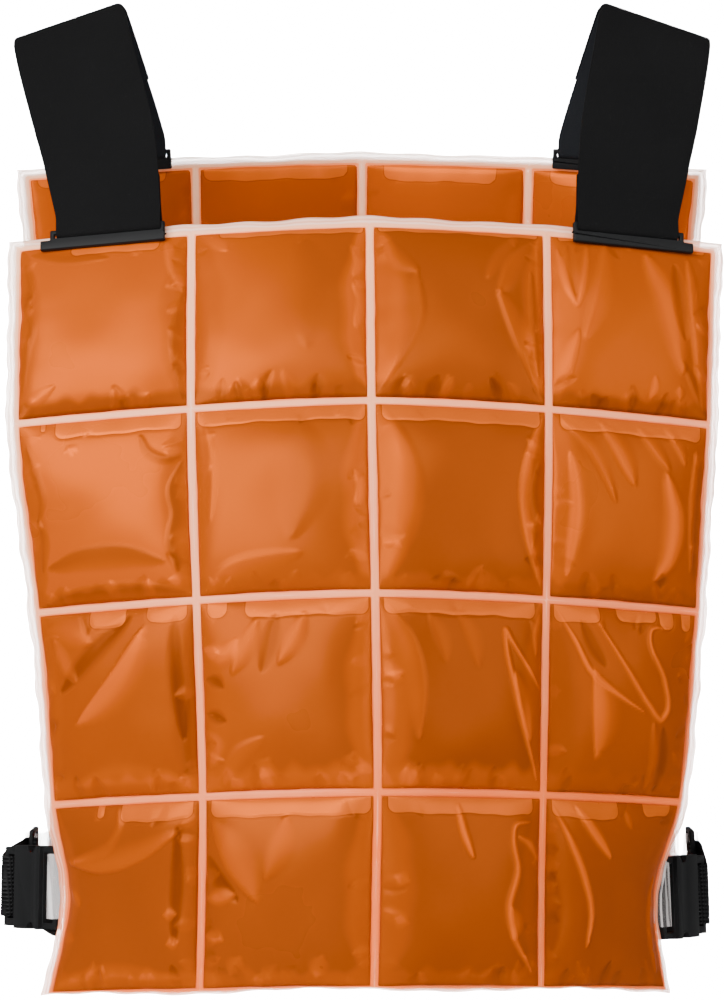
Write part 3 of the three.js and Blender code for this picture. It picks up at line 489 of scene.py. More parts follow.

# The folds in the film of each front cell. A path is in hundredths of the cell's width and height, from the top left.
# height is in millimetres, right and left are how wide the fold is on each hand along the path, and light is the
# painted highlight along it, which is painted shade where it is below 0.
FOLDS = {
    # path, height, right, left, light
    "r1c1": (
        (((8, 5), (28, 11), (52, 12)), 0.5, 2, 6, -0.5),
        (((88, 5), (92, 18), (98, 33)), 0.8, 2.5, 7, 0.35),
        (((99, 32), (93, 62), (98, 96)), 0.7, 2, 5, -0.5),
        (((2, 99), (10, 92), (22, 85)), 0.7, 3, 4, 0.2),
        (((3, 10), (7, 25), (3, 38)), 0.5, 2, 3, -0.4),
        (((3, 38), (8, 50), (4, 62), (2, 85)), 0.5, 2, 3, -0.4),
    ),
    "r1c2": (
        (((2, 2), (10, 6), (18, 12)), 0.6, 3, 5, 0.3),
        (((62, 10), (70, 40), (66, 70)), 0.5, 10, 14, -0.15),
        (((92, 12), (96, 22), (93, 30)), 0.5, 2, 4, 0.4),
        (((93, 36), (97, 45), (94, 60)), 0.5, 2, 4, 0.35),
    ),
    "r1c3": (
        (((95, 4), (80, 20), (72, 38)), 0.9, 3, 9, 0.45),
        (((84, 3), (74, 16), (66, 30)), 0.5, 4, 4, 0.3),
        (((72, 40), (82, 65), (97, 96)), 1.0, 2, 10, 0.55),
        (((92, 25), (93, 50), (96, 85)), 0.6, 2, 3, -0.35),
        (((96, 10), (97, 50), (98, 90)), 0.5, 1.5, 3, 0.3),
        (((4, 6), (12, 18), (24, 28)), 0.7, 6, 4, 0.3),
        (((24, 30), (25, 55), (4, 94)), 0.6, 8, 3, 0.15),
    ),
    "r1c4": (
        (((3, 8), (8, 30), (13, 42)), 0.6, 2, 2, 0.45),
        (((21, 4), (18, 25), (14, 42)), 0.6, 2, 2, 0.4),
        (((10, 5), (11, 22), (13, 36)), -0.4, 2, 2, -0.3),
        (((32, 4), (28, 28), (18, 60)), 0.7, 4, 7, 0.3),
        (((4, 96), (8, 80), (14, 58)), 0.6, 2, 5, 0.35),
        (((58, 8), (72, 38), (80, 74)), 1.0, 8, 8, 0.5),
        (((84, 8), (88, 45), (97, 94)), 0.9, 3, 6, 0.5),
        (((76, 12), (78, 30), (82, 55)), -0.7, 4, 4, -0.4),
        (((80, 70), (90, 84), (99, 98)), 0.6, 2, 4, -0.3),
        (((62, 80), (62, 86), (60, 92)), 0.5, 3, 3, 0.6),
        (((79, 84), (80, 90)), 0.4, 2.5, 2.5, 0.5),
    ),
    "r2c1": (
        (((74, 12), (79, 21), (88, 25), (97, 24)), 0.8, 3, 2, -0.55),
        (((97, 28), (91, 42), (93, 55), (90, 68), (93, 85)), 0.7, 2, 5, -0.5),
        (((4, 12), (9, 30), (12, 42), (8, 52)), 0.5, 2, 3, -0.4),
        (((8, 52), (11, 62), (7, 80)), 0.5, 2, 3, -0.4),
        (((14, 77), (35, 71), (65, 72), (84, 79)), 0.3, 10, 2, -0.7),
        (((6, 98), (30, 92), (70, 92), (96, 97)), 0.7, 5, 2, -0.35),
        (((28, 17), (33, 15), (36, 17)), 0.4, 1.5, 1.5, 0.5),
        (((30, 14), (33, 19)), 0.4, 1.2, 1.2, 0.5),
    ),
    "r2c2": (
        (((3, 98), (18, 86), (42, 81), (60, 80)), 0.7, 8, 3, 0.25),
        (((60, 8), (68, 40), (58, 70)), 0.6, 14, 10, -0.1),
        (((93, 38), (96, 46), (93, 55)), 0.7, 2, 4, 0.4),
        (((6, 8), (10, 30), (8, 60)), 0.5, 3, 3, 0.15),
    ),
    "r2c3": (
        (((5, 4), (14, 22), (19, 42), (18, 62), (5, 94)), 0.7, 9, 5, 0.35),
        (((98, 4), (88, 26), (84, 48), (89, 74), (99, 96)), 1.1, 2, 5, 0.95),
        (((96, 30), (92, 45), (95, 60), (92, 75)), 0.6, 3, 3, -0.3),
        (((95, 57), (97, 62)), 0.4, 2, 2, 0.7),
        (((30, 94), (40, 93), (47, 95)), 0.5, 3, 2, -0.3),
    ),
    "r2c4": (
        (((6, 4), (18, 16), (30, 34), (36, 46)), 0.8, 2, 5, 0.45),
        (((30, 5), (38, 20), (48, 36)), 1.0, 3, 8, 0.65),
        (((54, 5), (64, 18), (72, 26)), 0.8, 2, 5, 0.55),
        (((72, 4), (80, 14), (84, 22)), 0.6, 2, 4, 0.5),
        (((9, 22), (12, 50), (8, 88)), 0.8, 3, 4, 0.6),
        (((72, 30), (80, 52), (76, 76), (68, 86)), 1.1, 8, 5, 0.85),
        (((93, 15), (91, 45), (92, 80)), 0.7, 2.5, 2.5, 0.45),
        (((97, 20), (96, 45), (94, 60), (97, 85)), -0.5, 3, 3, -0.4),
        (((71, 84), (72, 90)), -0.6, 4, 4, -0.5),
    ),
    "r3c1": (
        (((68, 12), (50, 34), (26, 56)), 1.0, 1.5, 14, 0.65),
        (((60, 4), (38, 20), (14, 40)), -0.7, 5, 6, -0.45),
        (((10, 14), (18, 30), (24, 36)), 0.7, 3, 5, 0.4),
        (((6, 8), (20, 10), (34, 16)), 0.6, 6, 6, 0.35),
        (((90, 6), (91, 35), (94, 70)), -0.7, 5, 4, -0.4),
        (((97, 50), (96, 80), (99, 96)), 0.5, 3, 2, -0.2),
        (((20, 92), (50, 88), (90, 92)), 0.6, 6, 6, 0.25),
    ),
    "r3c2": (
        (((3, 24), (14, 27), (22, 20)), 0.7, 6, 6, 0.45),
        (((34, 10), (26, 24), (20, 36)), 0.7, 4, 6, 0.3),
        (((46, 8), (42, 24), (38, 36)), -0.7, 5, 5, -0.3),
        (((62, 8), (56, 20), (48, 32)), 0.8, 4, 6, 0.35),
        (((3, 40), (8, 41), (13, 44)), -0.8, 3.5, 3.5, -0.55),
        (((3, 58), (8, 60), (14, 62)), -0.8, 3.5, 3.5, -0.55),
        (((3, 68), (8, 76), (4, 86)), 0.6, 4, 4, 0.3),
        (((12, 95), (20, 80), (36, 72)), 0.5, 6, 3, 0.2),
        (((36, 92), (40, 84)), 0.5, 6, 6, 0.3),
        (((88, 94), (90, 82)), 0.6, 6, 6, 0.4),
    ),
    "r3c3": (
        (((5, 4), (16, 20), (22, 45), (20, 72)), 0.8, 7, 2, 0.4),
        (((99, 46), (88, 33), (78, 20), (75, 15), (75, 26), (79, 42), (86, 66), (97, 94)), 1.1, 1.6, 1.6, 0.9),
        (((80, 38), (84, 52), (90, 72)), 0.9, 2, 6, 0.6),
        (((98, 6), (95, 16), (95, 27)), 0.5, 1.5, 1.5, 0.6),
        (((28, 8), (32, 20), (36, 32)), 0.5, 3, 6, 0.2),
        (((46, 6), (52, 20), (56, 34)), 0.5, 3, 6, 0.2),
    ),
    "r3c4": (
        (((4, 3), (14, 18), (24, 34), (40, 44), (62, 54)), 1.1, 1.5, 1.8, 0.95),
        (((26, 36), (27, 60), (28, 77)), 0.8, 1.5, 14, 0.75),
        (((30, 8), (48, 30), (66, 50), (75, 57), (80, 52), (77, 36), (66, 16), (68, 9), (80, 8)), 1.0, 1.6, 1.6, 0.85),
        (((92, 6), (96, 10), (93, 14)), 0.5, 1.5, 1.5, 0.6),
        (((78, 62), (80, 80), (78, 96)), -0.6, 4, 4, -0.3),
        (((70, 60), (72, 80), (70, 96)), 0.6, 3, 3, 0.25),
        (((20, 8), (26, 20), (34, 30)), -0.6, 4, 4, -0.3),
    ),
    "r4c1": (
        (((46, 2), (47, 12), (40, 21), (12, 28)), 0.8, 3, 3, 0.3),
        (((8, 30), (34, 34), (66, 28), (86, 18)), 0.9, 1.5, 10, 0.5),
        (((88, 14), (89, 40), (88, 75)), -0.7, 4, 4, -0.35),
        (((82, 60), (88, 60)), 0.4, 3, 3, 0.6),
        (((84, 76), (90, 75)), 0.4, 3, 3, 0.6),
        (((6, 46), (14, 54)), 0.5, 3, 3, 0.35),
        (((5, 97), (40, 92), (90, 95)), 0.6, 3, 5, 0.3),
    ),
    "r4c2": (
        (((5, 14), (16, 34), (32, 52)), 0.9, 2, 13, 0.45),
        (((3, 30), (10, 40), (22, 52)), -0.7, 6, 3, -0.35),
        (((3, 52), (10, 51), (20, 50)), 0.6, 4, 4, 0.65),
        (((2, 72), (8, 72), (13, 74)), 0.5, 3.5, 3.5, 0.6),
        (((50, 10), (46, 26), (40, 40)), 0.7, 5, 8, 0.3),
        (((18, 92), (24, 84)), 0.5, 5, 5, 0.4),
        (((70, 94), (74, 84)), 0.5, 5, 5, 0.35),
    ),
    "r4c3": (
        (((45, 4), (47, 16), (53, 31)), 1.0, 2.5, 2.5, 1.0),
        (((92, 12), (82, 14), (80, 22), (83, 38), (77, 58), (80, 72), (94, 92)), 1.0, 2, 2, 0.85),
        (((78, 58), (82, 66), (80, 74)), 0.8, 3, 4, 0.6),
        (((84, 20), (92, 24), (99, 33)), 0.7, 2, 2, 0.7),
        (((8, 42), (14, 44)), 0.5, 4, 4, 0.35),
        (((8, 64), (14, 66)), 0.5, 4, 4, 0.3),
    ),
    "r4c4": (
        (((3, 3), (12, 18), (24, 40), (30, 60), (27, 78)), 1.1, 2, 3, 0.9),
        (((20, 3), (30, 14), (45, 28)), 1.0, 3, 4, 0.95),
        (((58, 4), (62, 12)), 0.5, 2, 2, 0.5),
        (((92, 40), (88, 66), (92, 92)), 0.8, 3, 4, 0.4),
        (((3, 40), (4, 60), (3, 80)), -0.5, 5, 5, -0.2),
    ),
}


def curve(points, count):
    """Places along a smooth line through points, spaced by the points' own distances."""
    points = np.asarray(points, float)
    if len(points) == 2:
        return points[0] + np.linspace(0, 1, count)[:, None] * (points[1] - points[0])
    reach = np.concatenate([[0], np.cumsum(np.hypot(*np.diff(points, axis=0).T))])
    at = np.linspace(0, reach[-1], count)
    return np.stack([through(reach, points[:, k], at) for k in (0, 1)], axis=1)


def fold(s, t, path, right, left):
    """How far inside a fold each place is: 1 on its crest and 0 at its edge."""
    path = curve(path, 26 + 9 * len(path))
    step = np.gradient(path, axis=0)
    across, down = s[..., None] - path[:, 0], t[..., None] - path[:, 1]
    nearest = (across**2 + down**2).argmin(axis=-1)
    pick = lambda values: np.take_along_axis(values, nearest[..., None], -1)[..., 0]
    across, down = pick(across), pick(down)
    on_right = step[nearest, 0] * down - step[nearest, 1] * across > 0
    share = nearest / (len(path) - 1)
    width = (np.where(on_right, right, left) * 1.3 + 0.6) * (0.3 + 0.7 * np.sin(np.pi * share) ** 0.7)
    return np.clip(1 - np.hypot(across, down) / width, 0, 1)


def puckers(rng, s, t, count, strength):
    """Short folds that run in from the welds: their rise, and the painted highlight on raised ones and painted shade on
    sunken ones.
    """
    rise, light = np.zeros_like(s), np.zeros_like(s)
    for _ in range(count):
        edge = rng.choice(4, p=(0.26, 0.26, 0.4, 0.08))
        place = rng.uniform(0.05, 0.95)
        length = rng.uniform(4, 11) * (1.2 if edge == 2 else 1)
        lean = rng.uniform(-0.6, 0.6) * length
        starts = (
            (0, place * CELL_HEIGHT), (CELL_WIDTH, place * CELL_HEIGHT),
            (place * CELL_WIDTH, CELL_HEIGHT), (place * CELL_WIDTH, 0),
        )
        ends = ((length, lean), (-length, lean), (lean, -length), (lean, length))
        start = np.array(starts[edge], float)
        end = start + ends[edge]
        middle = (start + end) / 2 + rng.uniform(-1.2, 1.2, 2)
        width = rng.uniform(1.6, 4.2, 2)
        inside = fold(s, t, (start, middle, end), *width)
        up = rng.choice((-1, 1), p=(0.4, 0.6))
        rise += up * rng.uniform(0.25, 0.8) * strength * inside**1.4
        # Painted highlight on a raised pucker, painted shade on a sunken one.
        light += up * rng.uniform(0.1, 0.35) * smooth(0, 0.6, inside)
    return rise, light


def pillow(panel, row, column):
    """One cell: a closed skin that swells out of the seams on both sides, fuller where the liquid has sunk."""
    rng = np.random.default_rng(1000 * (panel.side + 2) + 10 * row + column)
    place = f"r{row + 1}c{column + 1}"
    front = panel.side < 0
    fine_columns, fine_rows = (112, 120) if front else (60, 66)
    cell_left = SIDE_HEM - PANEL_WIDTH / 2 + column * PITCH
    cell_top = TOP_HEM + row * ROW_PITCH

    u, v = np.meshgrid(np.linspace(0, 1, fine_columns + 1), np.linspace(0, 1, fine_rows + 1))
    # Points gather towards the seams, where the skin is steep.
    u, v = u - 0.05 * np.sin(2 * np.pi * u), v - 0.05 * np.sin(2 * np.pi * v)

    # The welds run in uneven scallops along the sides.
    def scallop(share, depth, waves):
        phase = rng.uniform(0, 2 * np.pi, 3)
        wave = sum(np.sin(2 * np.pi * k * share + p) / k**0.5 for k, p in zip((2, 4, 7), phase))
        return depth * np.sin(np.pi * share) ** 0.7 * (1 + waves * wave)

    # The scallops are deepest along a panel's own sides.
    inset_left, inset_right = (
        scallop(v, 0.45 + 0.7 * (column == outermost), 0.35) - 0.65 for outermost in (0, COLUMNS - 1)
    )
    inset_top, inset_bottom = scallop(u, 0.25, 0.3) - 0.4, scallop(u, 0.4, 0.4) - 0.5
    s = inset_left + u * (CELL_WIDTH - inset_left - inset_right)
    t = inset_top + v * (CELL_HEIGHT - inset_top - inset_bottom)
    across, down = s / CELL_WIDTH, t / CELL_HEIGHT

    a, b = 2 * u - 1, 2 * v - 1
    rim = lambda x, power, soft: (1 - np.abs(x) ** power) ** soft
    full = rim(a, 2.9, 0.72) * rim(b, 3.2, 0.68) * (1 + 0.12 * b)
    near_rim = np.clip(full * 1.8, 0, 1)

    # The cell's painted light and shade: its middle, and its four flanks, which are widest half way along.
    if front:
        middle, drift, left_flank_painted_light, right_flank_painted_light, bottom_band_painted_light = PAINTED_CELL_LIGHT[place]
    else:
        middle, drift, left_flank_painted_light, right_flank_painted_light, bottom_band_painted_light = BACK_PAINTED_LIGHT
    tone = middle + drift * (0.5 - smooth(0.1, 0.9, across))
    bow = np.sin(np.pi * np.clip(down, 0.01, 0.99)) ** 0.55
    left_edge = (0.17 if column else 0.12) * bow + 0.008 * np.sin(down * 23 + row)
    right_edge = (0.13 if column < COLUMNS - 1 else 0.1) * bow + 0.008 * np.sin(down * 19 + column)
    tone += (left_flank_painted_light - tone) * smooth(1.3, 0.7, across / np.maximum(left_edge, 0.01))
    tone += (right_flank_painted_light - tone) * smooth(1.3, 0.7, (1 - across) / np.maximum(right_edge, 0.01))
    base = PAINTED_BOTTOM_BANDS[row] + 0.012 * np.sin(across * 29 + 2 * row) + 0.01 * np.sin(across * 47 + column)
    tone += (bottom_band_painted_light - tone) * smooth(1.3, 0.65, (1 - down) / base)
    # Painted shade along the bottom weld and the side welds.
    tone -= 0.35 * smooth(0.022, 0.0, 1 - down) + 0.2 * smooth(0.014, 0.0, np.minimum(across, 1 - across))

    # light is the painted highlight and painted shade of the puckers and folds.
    rise, light = puckers(rng, s, t, 22 if front else 12, 1.0)
    for path, height, right, left, fold_painted_light in FOLDS[place] if front else ():
        path = np.asarray(path, float) * (CELL_WIDTH / 100, CELL_HEIGHT / 100)
        inside = fold(s, t, path, right, left)
        rise += 0.85 * height * smooth(0.0, 1.0, inside)
        light += fold_painted_light * PAINTED_FOLD_LIGHT[row] * smooth(0.0, 0.8, inside)
    wander = 0.25 * np.sin(s * 0.13 + rng.uniform(0, 6)) * np.sin(t * 0.11 + rng.uniform(0, 6))
    outer = WELD_LIFT + (OUTER_BULGE * FULLNESS * full + (rise + wander) * near_rim)
    inner = WELD_LIFT + INNER_BULGE * FULLNESS * full
    # The painted highlights and shade of the folds go into the liquid's colour.
    tone = tone + light * (0.35 + 0.65 * near_rim)

    # The air at the top: how far inside its outline a place is, in millimetres.
    bubbles = AIR[place] if front else ((rng.uniform(2, 12), rng.uniform(82, 98), rng.uniform(5, 8.5)),)
    air = np.full_like(s, -50.0)
    for start, end, deep in bubbles:
        half = (end - start) * CELL_WIDTH / 200
        corner = min(4.0, half * 0.9, deep * 0.7)
        wavy = t + 0.35 * np.sin(s * 0.17 + 2.1 * row) + 0.2 * np.sin(s * 0.41 + column)
        side = np.abs(s - (start + end) * CELL_WIDTH / 200) - half + corner
        below = wavy - deep + corner
        reach = np.hypot(np.maximum(side, 0), np.maximum(below, 0)) + np.minimum(np.maximum(side, below), 0)
        air = np.maximum(air, corner - reach)
    outer -= 0.35 * np.exp(-((air / 0.7) ** 2)) * near_rim
    tone += 0.25 * smooth(-0.2, 0.3, air) * (1 + 0.5 * np.sin(s * 0.3 + row * 2 + column))

    outer_points = panel.offset(cell_left + s, cell_top + t, outer)
    inner_points = panel.offset(cell_left + s, cell_top + t, -inner)[::2, ::2]

    # The outer skin.
    rows, columns = u.shape
    points = [outer_points.reshape(-1, 3)]
    faces = faces_of(rows, columns, flip=front).tolist()
    # The inner skin is coarser, and shares the rim with the outer one.
    coarse_rows, coarse_columns = inner_points.shape[:2]
    fine = np.arange(rows * columns).reshape(rows, columns)
    index = fine[::2, ::2].copy()
    inside = inner_points[1:-1, 1:-1].reshape(-1, 3)
    index[1:-1, 1:-1] = rows * columns + np.arange(len(inside)).reshape(coarse_rows - 2, coarse_columns - 2)
    points.append(inside)
    for i in range(coarse_rows - 1):
        for j in range(coarse_columns - 1):
            ring = [index[i, j]]
            if i == 0:
                ring.append(fine[0, 2 * j + 1])
            ring.append(index[i, j + 1])
            if j == coarse_columns - 2:
                ring.append(fine[2 * i + 1, -1])
            ring.append(index[i + 1, j + 1])
            if i == coarse_rows - 2:
                ring.append(fine[-1, 2 * j + 1])
            ring.append(index[i + 1, j])
            if j == 0:
                ring.append(fine[2 * i + 1, 0])
            faces.append([int(k) for k in (ring if front else ring[::-1])])
    both = lambda values: np.concatenate([values.ravel(), values[::2, ::2][1:-1, 1:-1].ravel()])
    values = {"tone": both(tone), "air": both(air)}
    piece = new_piece(f"{panel.name}_pillow_{place}", np.concatenate(points), faces, LIQUID, values)
    make_outward(piece)
    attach(piece, "root")
    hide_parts(f"{panel.name}_cell_{place}")


# The welded film


def film(panel):
    """The two films where they are welded to each other: hems and seams, with a margin that runs in under the cells."""
    margin = 5.0
    spacing = 2.2

    def lines(first, size, seam, count, end):
        found = [0.0]
        for k in range(count):
            start = first + k * (size + seam)
            found += list(np.linspace(found[-1], start, 5)[1:])
            found += list(np.linspace(start, start + size, int(size / spacing))[1:])
        found += list(np.linspace(found[-1], end, 5)[1:])
        return np.array(found)

    across = lines(SIDE_HEM, CELL_WIDTH, SEAM, COLUMNS, PANEL_WIDTH)
    down = lines(TOP_HEM, CELL_HEIGHT, CROSS_SEAM, ROWS, PANEL_HEIGHT)

    def inside(places, first, size, seam):
        offset = (places - first) % (size + seam)
        return (offset > margin) & (offset < size - margin) & (places > first)

    x, y = np.meshgrid(across, down)
    middles_x = (across[1:] + across[:-1]) / 2
    middles_y = (down[1:] + down[:-1]) / 2
    hole = inside(middles_y, TOP_HEM, CELL_HEIGHT, CROSS_SEAM)[:, None] & inside(
        middles_x, SIDE_HEM, CELL_WIDTH, SEAM)[None, :]
    near_edge = np.minimum(np.minimum(x, PANEL_WIDTH - x), np.minimum(y, PANEL_HEIGHT - y))

    def beyond(places, first, size, seam, count):
        """How far outside the cells a place is, along one direction."""
        last = first + count * (size + seam) - seam
        after = np.mod(places - first, size + seam) - size
        between = np.clip(np.minimum(after, seam - after), 0, None)
        return np.where(places < first, first - places, np.where(places > last, places - last, between))

    beside = np.maximum(
        beyond(x, SIDE_HEM, CELL_WIDTH, SEAM, COLUMNS), beyond(y, TOP_HEM, CELL_HEIGHT, CROSS_SEAM, ROWS)
    )
    wave = 0.35 * np.sin(x * 0.21 + 1.3 * np.sin(y * 0.05)) * np.exp(-np.minimum(y, PANEL_HEIGHT - y) / 5)
    wave += 0.35 * np.sin(y * 0.19 + 1.1 * np.sin(x * 0.06)) * np.exp(-np.minimum(x, PANEL_WIDTH - x) / 5)
    edge = np.clip(near_edge / 4, 0, 1)
    half = FILM / 2 * (0.55 + 0.45 * edge) * (0.3 + 0.7 * smooth(0, 0.9, beside))
    sheet_points = x.size
    # The hems are pulled in beside the middle of each cell and wander a little, and the bottom hem is uneven.
    share = np.mod(y - TOP_HEM, ROW_PITCH) / ROW_PITCH
    pull = 1.1 * np.sin(np.pi * share) ** 0.8 + 0.45 * np.sin(y * 0.17 + 1.0) + 0.3 * np.sin(y * 0.43)
    hem_share = np.clip((SIDE_HEM - np.minimum(x, PANEL_WIDTH - x)) / SIDE_HEM, 0, 1)
    # On the front panel the wearer's left hem curls back below the waist.
    curl = np.where((x > PANEL_WIDTH / 2) & (panel.side < 0), smooth(0.72, 0.86, y / PANEL_HEIGHT), 0)
    wave = wave - 1.2 * curl * hem_share**1.5
    x = x + np.where(x < PANEL_WIDTH / 2, 1, -1) * (pull + 0.9 * curl) * hem_share
    below = np.clip(y - (PANEL_HEIGHT - BOTTOM_HEM), 0, None)
    y = y - below * (0.5 + 0.2 * np.sin(x * 0.045 + 0.6) + 0.08 * np.sin(x * 0.21))
    above = np.clip(TOP_HEM - y, 0, None)
    y = y + above * (0.06 + 0.07 * np.sin(x * 0.06) + 0.04 * np.sin(x * 0.19))
    upper = panel.offset(x - PANEL_WIDTH / 2, y, wave + half)
    lower = panel.offset(x - PANEL_WIDTH / 2, y, wave - half)
    points = np.concatenate([upper.reshape(-1, 3), lower.reshape(-1, 3)])
    grid = np.arange(sheet_points).reshape(x.shape)
    faces = []
    there = ~hole
    rows, columns = there.shape
    for i in range(rows):
        for j in range(columns):
            if not there[i, j]:
                continue
            a, b, c, d = int(grid[i, j]), int(grid[i, j + 1]), int(grid[i + 1, j + 1]), int(grid[i + 1, j])
            faces.append((a, b, c, d))
            faces.append((d + sheet_points, c + sheet_points, b + sheet_points, a + sheet_points))
            for (p, q), (di, dj) in (((a, b), (-1, 0)), ((b, c), (0, 1)), ((c, d), (1, 0)), ((d, a), (0, -1))):
                ni, nj = i + di, j + dj
                if not (0 <= ni < rows and 0 <= nj < columns and there[ni, nj]):
                    faces.append((q, p, p + sheet_points, q + sheet_points))
    used = np.unique(np.concatenate([np.array(face) for face in faces]))
    remap = np.full(len(points), -1)
    remap[used] = np.arange(len(used))
    faces = [[int(remap[k]) for k in face] for face in faces]
    rim = np.clip(1 - near_edge / SIDE_HEM, 0, 1).ravel()
    values = {"edge": np.concatenate([rim, rim])[used], "weld": np.concatenate([beside.ravel(), beside.ravel()])[used]}
    piece = new_piece(f"{panel.name}_welded_film", points[used], faces, WELDED, values)
    make_outward(piece)
    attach(piece, "root")
    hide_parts(f"{panel.name}_film")


for panel in PANELS.values():
    film(panel)
    for row in range(ROWS):
        for column in range(COLUMNS):
            pillow(panel, row, column)

# Straps, loops and moulded pieces

# How each buckle hangs. middle is where it turns about, in millimetres; turn faces it to the front, in degrees;
# inward and drop are how far it is pulled to the panel and down, in millimetres.
BUCKLES = {
    # middle, turn, inward, drop
    "right": ((-172.5, -15.5), 9.5, 2.6, 1.4),
    "left": ((170.9, 8.6), 6.0, 3.6, 3.4),
}
SIGNS = {"right": -1, "left": 1}
BUCKLE_BAR = 19.0  # from the middle of a socket to its bar
BUCKLE_DIRECTION = (0.39, 0.92)  # of a buckle as seen from above: out from the middle of the vest, and back
PLUG_REACH = 34.0  # from the middle of a buckle to the far end of its plug
LOOP_OVER = {"right": 5.2, "left": 2.0}  # how far a front loop reaches over the hem
STRAP_LEAN = 19.0  # of the straps, in degrees
RING_PULL = np.array((0, -2.6, -3.6))  # how far a front ring is pulled forward and down
STRAP_SLOT = 56.0  # the width of a ring's slot
STRAP_SHIFT = 2.6  # from a ring's middle to its slot's

# The webbing's free end, in a buckle's own directions: it lies inward of its layer and in front of its root, and the
# left one is stretched.
TAIL_LAYER, TAIL_ROOT, TAIL_STRETCH = -5.2, 25.0, 1.42


def swing(points, side, share=1.0):
    """Moves points with a buckle, by a share of its turn and pull."""
    middle, turn, inward, drop = BUCKLES[side]
    sign = SIGNS[side]
    angle = math.radians(turn) * sign
    x, y = points[:, 0] - middle[0], points[:, 1] - middle[1]
    moved = np.stack([x * math.cos(angle) + y * math.sin(angle), y * math.cos(angle) - x * math.sin(angle)], axis=1)
    step = np.stack([moved[:, 0] - x - sign * inward, moved[:, 1] - y, np.full(len(x), -drop)], axis=1)
    return points + step * np.reshape(share, (-1, 1))


def webbing_swing(side):
    """The webbing goes with the buckle at the front, and stays at the link. On the wearer's left its free end is
    pulled further forward, behind the clear loop."""
    end = BUCKLES[side][0][1] + PLUG_REACH
    middle, axes = buckle_axes(side)
    axes = np.array(axes)

    def moved(points):
        local = (points - middle) @ axes.T
        if side == "left":
            tail = (local[:, 2] < TAIL_LAYER) & (local[:, 0] < TAIL_ROOT)
            local[:, 0] = np.where(tail, TAIL_ROOT - (TAIL_ROOT - local[:, 0]) * TAIL_STRETCH, local[:, 0])
            points = local @ axes + middle
        return swing(points, side, smooth(end + PLUG_REACH, end, points[:, 1]))

    return moved


def loop_swing(side):
    """A clear loop goes with the buckle's bar, and reaches over the hem."""
    middle = BUCKLES[side][0]
    out, back = BUCKLE_DIRECTION
    bar = (middle[0] - SIGNS[side] * out * BUCKLE_BAR, middle[1] - back * BUCKLE_BAR)

    def moved(points):
        far = np.hypot(points[:, 0] - bar[0], points[:, 1] - bar[1])
        after = swing(points, side, smooth(15, 5, far))
        after[:, 2] = points[:, 2] + 0.35 * (after[:, 2] - points[:, 2])
        over = smooth(6, 15, far) * LOOP_OVER[side]
        after[:, 0] -= SIGNS[side] * over
        after[:, 1] += 0.25 * over
        return after

    return moved


def strap_hang(points):
    """A front strap reaches a little further down to its ring than the part's."""
    return points + smooth(-62, -100, points[:, 2])[:, None] * RING_PULL


def round_fold(points, side, radius=5.5):
    """Rounds the corners of a strap's fold at the shoulder."""
    lean = math.radians(STRAP_LEAN) * SIGNS[side]
    along = points[:, 0] * math.cos(lean) - points[:, 2] * math.sin(lean)
    height = points[:, 0] * math.sin(lean) + points[:, 2] * math.cos(lean)
    near = height > height.max() - 20
    middle = (along[near].max() + along[near].min()) / 2
    half = (along[near].max() - along[near].min()) / 2
    below = np.clip(height.max() - height, 0, radius)
    pull = radius - np.sqrt(radius**2 - (radius - below) ** 2)
    pull *= np.clip(np.abs(along - middle) / half, 0, 1) ** 12
    step = -np.sign(along - middle) * pull
    return points + np.stack([step * math.cos(lean), 0 * step, -step * math.sin(lean)], axis=1)


def finished_copy(node, material, round_off=None, levels=0, moves=()):
    """A finer copy of one of the part's nodes: its triangles are merged, and it is either rounded off along its
    edges or, for cloth and film, subdivided into a smooth band that keeps its own edges."""
    source = bpy.data.objects[node]
    mesh = source.data.copy()
    mesh.transform(source.matrix_world)
    piece = bpy.data.objects.new(f"{node}_finished", mesh)
    bpy.context.scene.collection.objects.link(piece)
    bpy.ops.object.select_all(action="DESELECT")
    piece.select_set(True)
    bpy.context.view_layer.objects.active = piece
    bpy.ops.object.mode_set(mode="EDIT")
    bpy.ops.mesh.select_all(action="SELECT")
    bpy.ops.mesh.remove_doubles(threshold=0.00001)
    if levels:
        bpy.ops.mesh.tris_convert_to_quads(face_threshold=math.radians(60), shape_threshold=math.radians(60))
    else:
        bpy.ops.mesh.dissolve_limited(angle_limit=math.radians(2))
    bpy.ops.mesh.normals_make_consistent(inside=False)
    bpy.ops.object.mode_set(mode="OBJECT")
    if levels:
        work = bmesh.new()
        work.from_mesh(mesh)
        crease = work.edges.layers.float.get("crease_edge") or work.edges.layers.float.new("crease_edge")
        for edge in work.edges:
            if edge.is_manifold and edge.calc_face_angle() > math.radians(62):
                edge[crease] = 0.93
        work.to_mesh(mesh)
        work.free()
        smoother = piece.modifiers.new("smoother", "SUBSURF")
        smoother.levels = smoother.render_levels = levels
        bpy.ops.object.modifier_apply(modifier=smoother.name)
    mesh = piece.data
    if moves:
        points = np.empty(len(mesh.vertices) * 3)
        mesh.vertices.foreach_get("co", points)
        points = points.reshape(-1, 3) / MM
        for move in moves:
            points = move(points)
        mesh.vertices.foreach_set("co", (points * MM).ravel())
        mesh.update()
    if round_off:
        round_edges(piece, round_off)
    dress(piece, material)
    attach(piece, "root")
    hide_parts(node)


def dress(piece, material):
    """Gives a piece its material, and shades it smooth except at its edges."""
    piece.data.materials.clear()
    piece.data.materials.append(material)
    bpy.ops.object.select_all(action="DESELECT")
    piece.select_set(True)
    bpy.context.view_layer.objects.active = piece
    bpy.ops.object.shade_smooth_by_angle(angle=math.radians(38))


def round_edges(piece, width, segments=3):
    """Rounds a piece's sharp edges. width is in millimetres."""
    bpy.context.view_layer.objects.active = piece
    bevel = piece.modifiers.new("rounded edges", "BEVEL")
    bevel.width = width * MM
    bevel.segments = segments
    bevel.limit_method = "ANGLE"
    bevel.angle_limit = math.radians(32)
    bevel.use_clamp_overlap = True
    bpy.ops.object.modifier_apply(modifier=bevel.name)


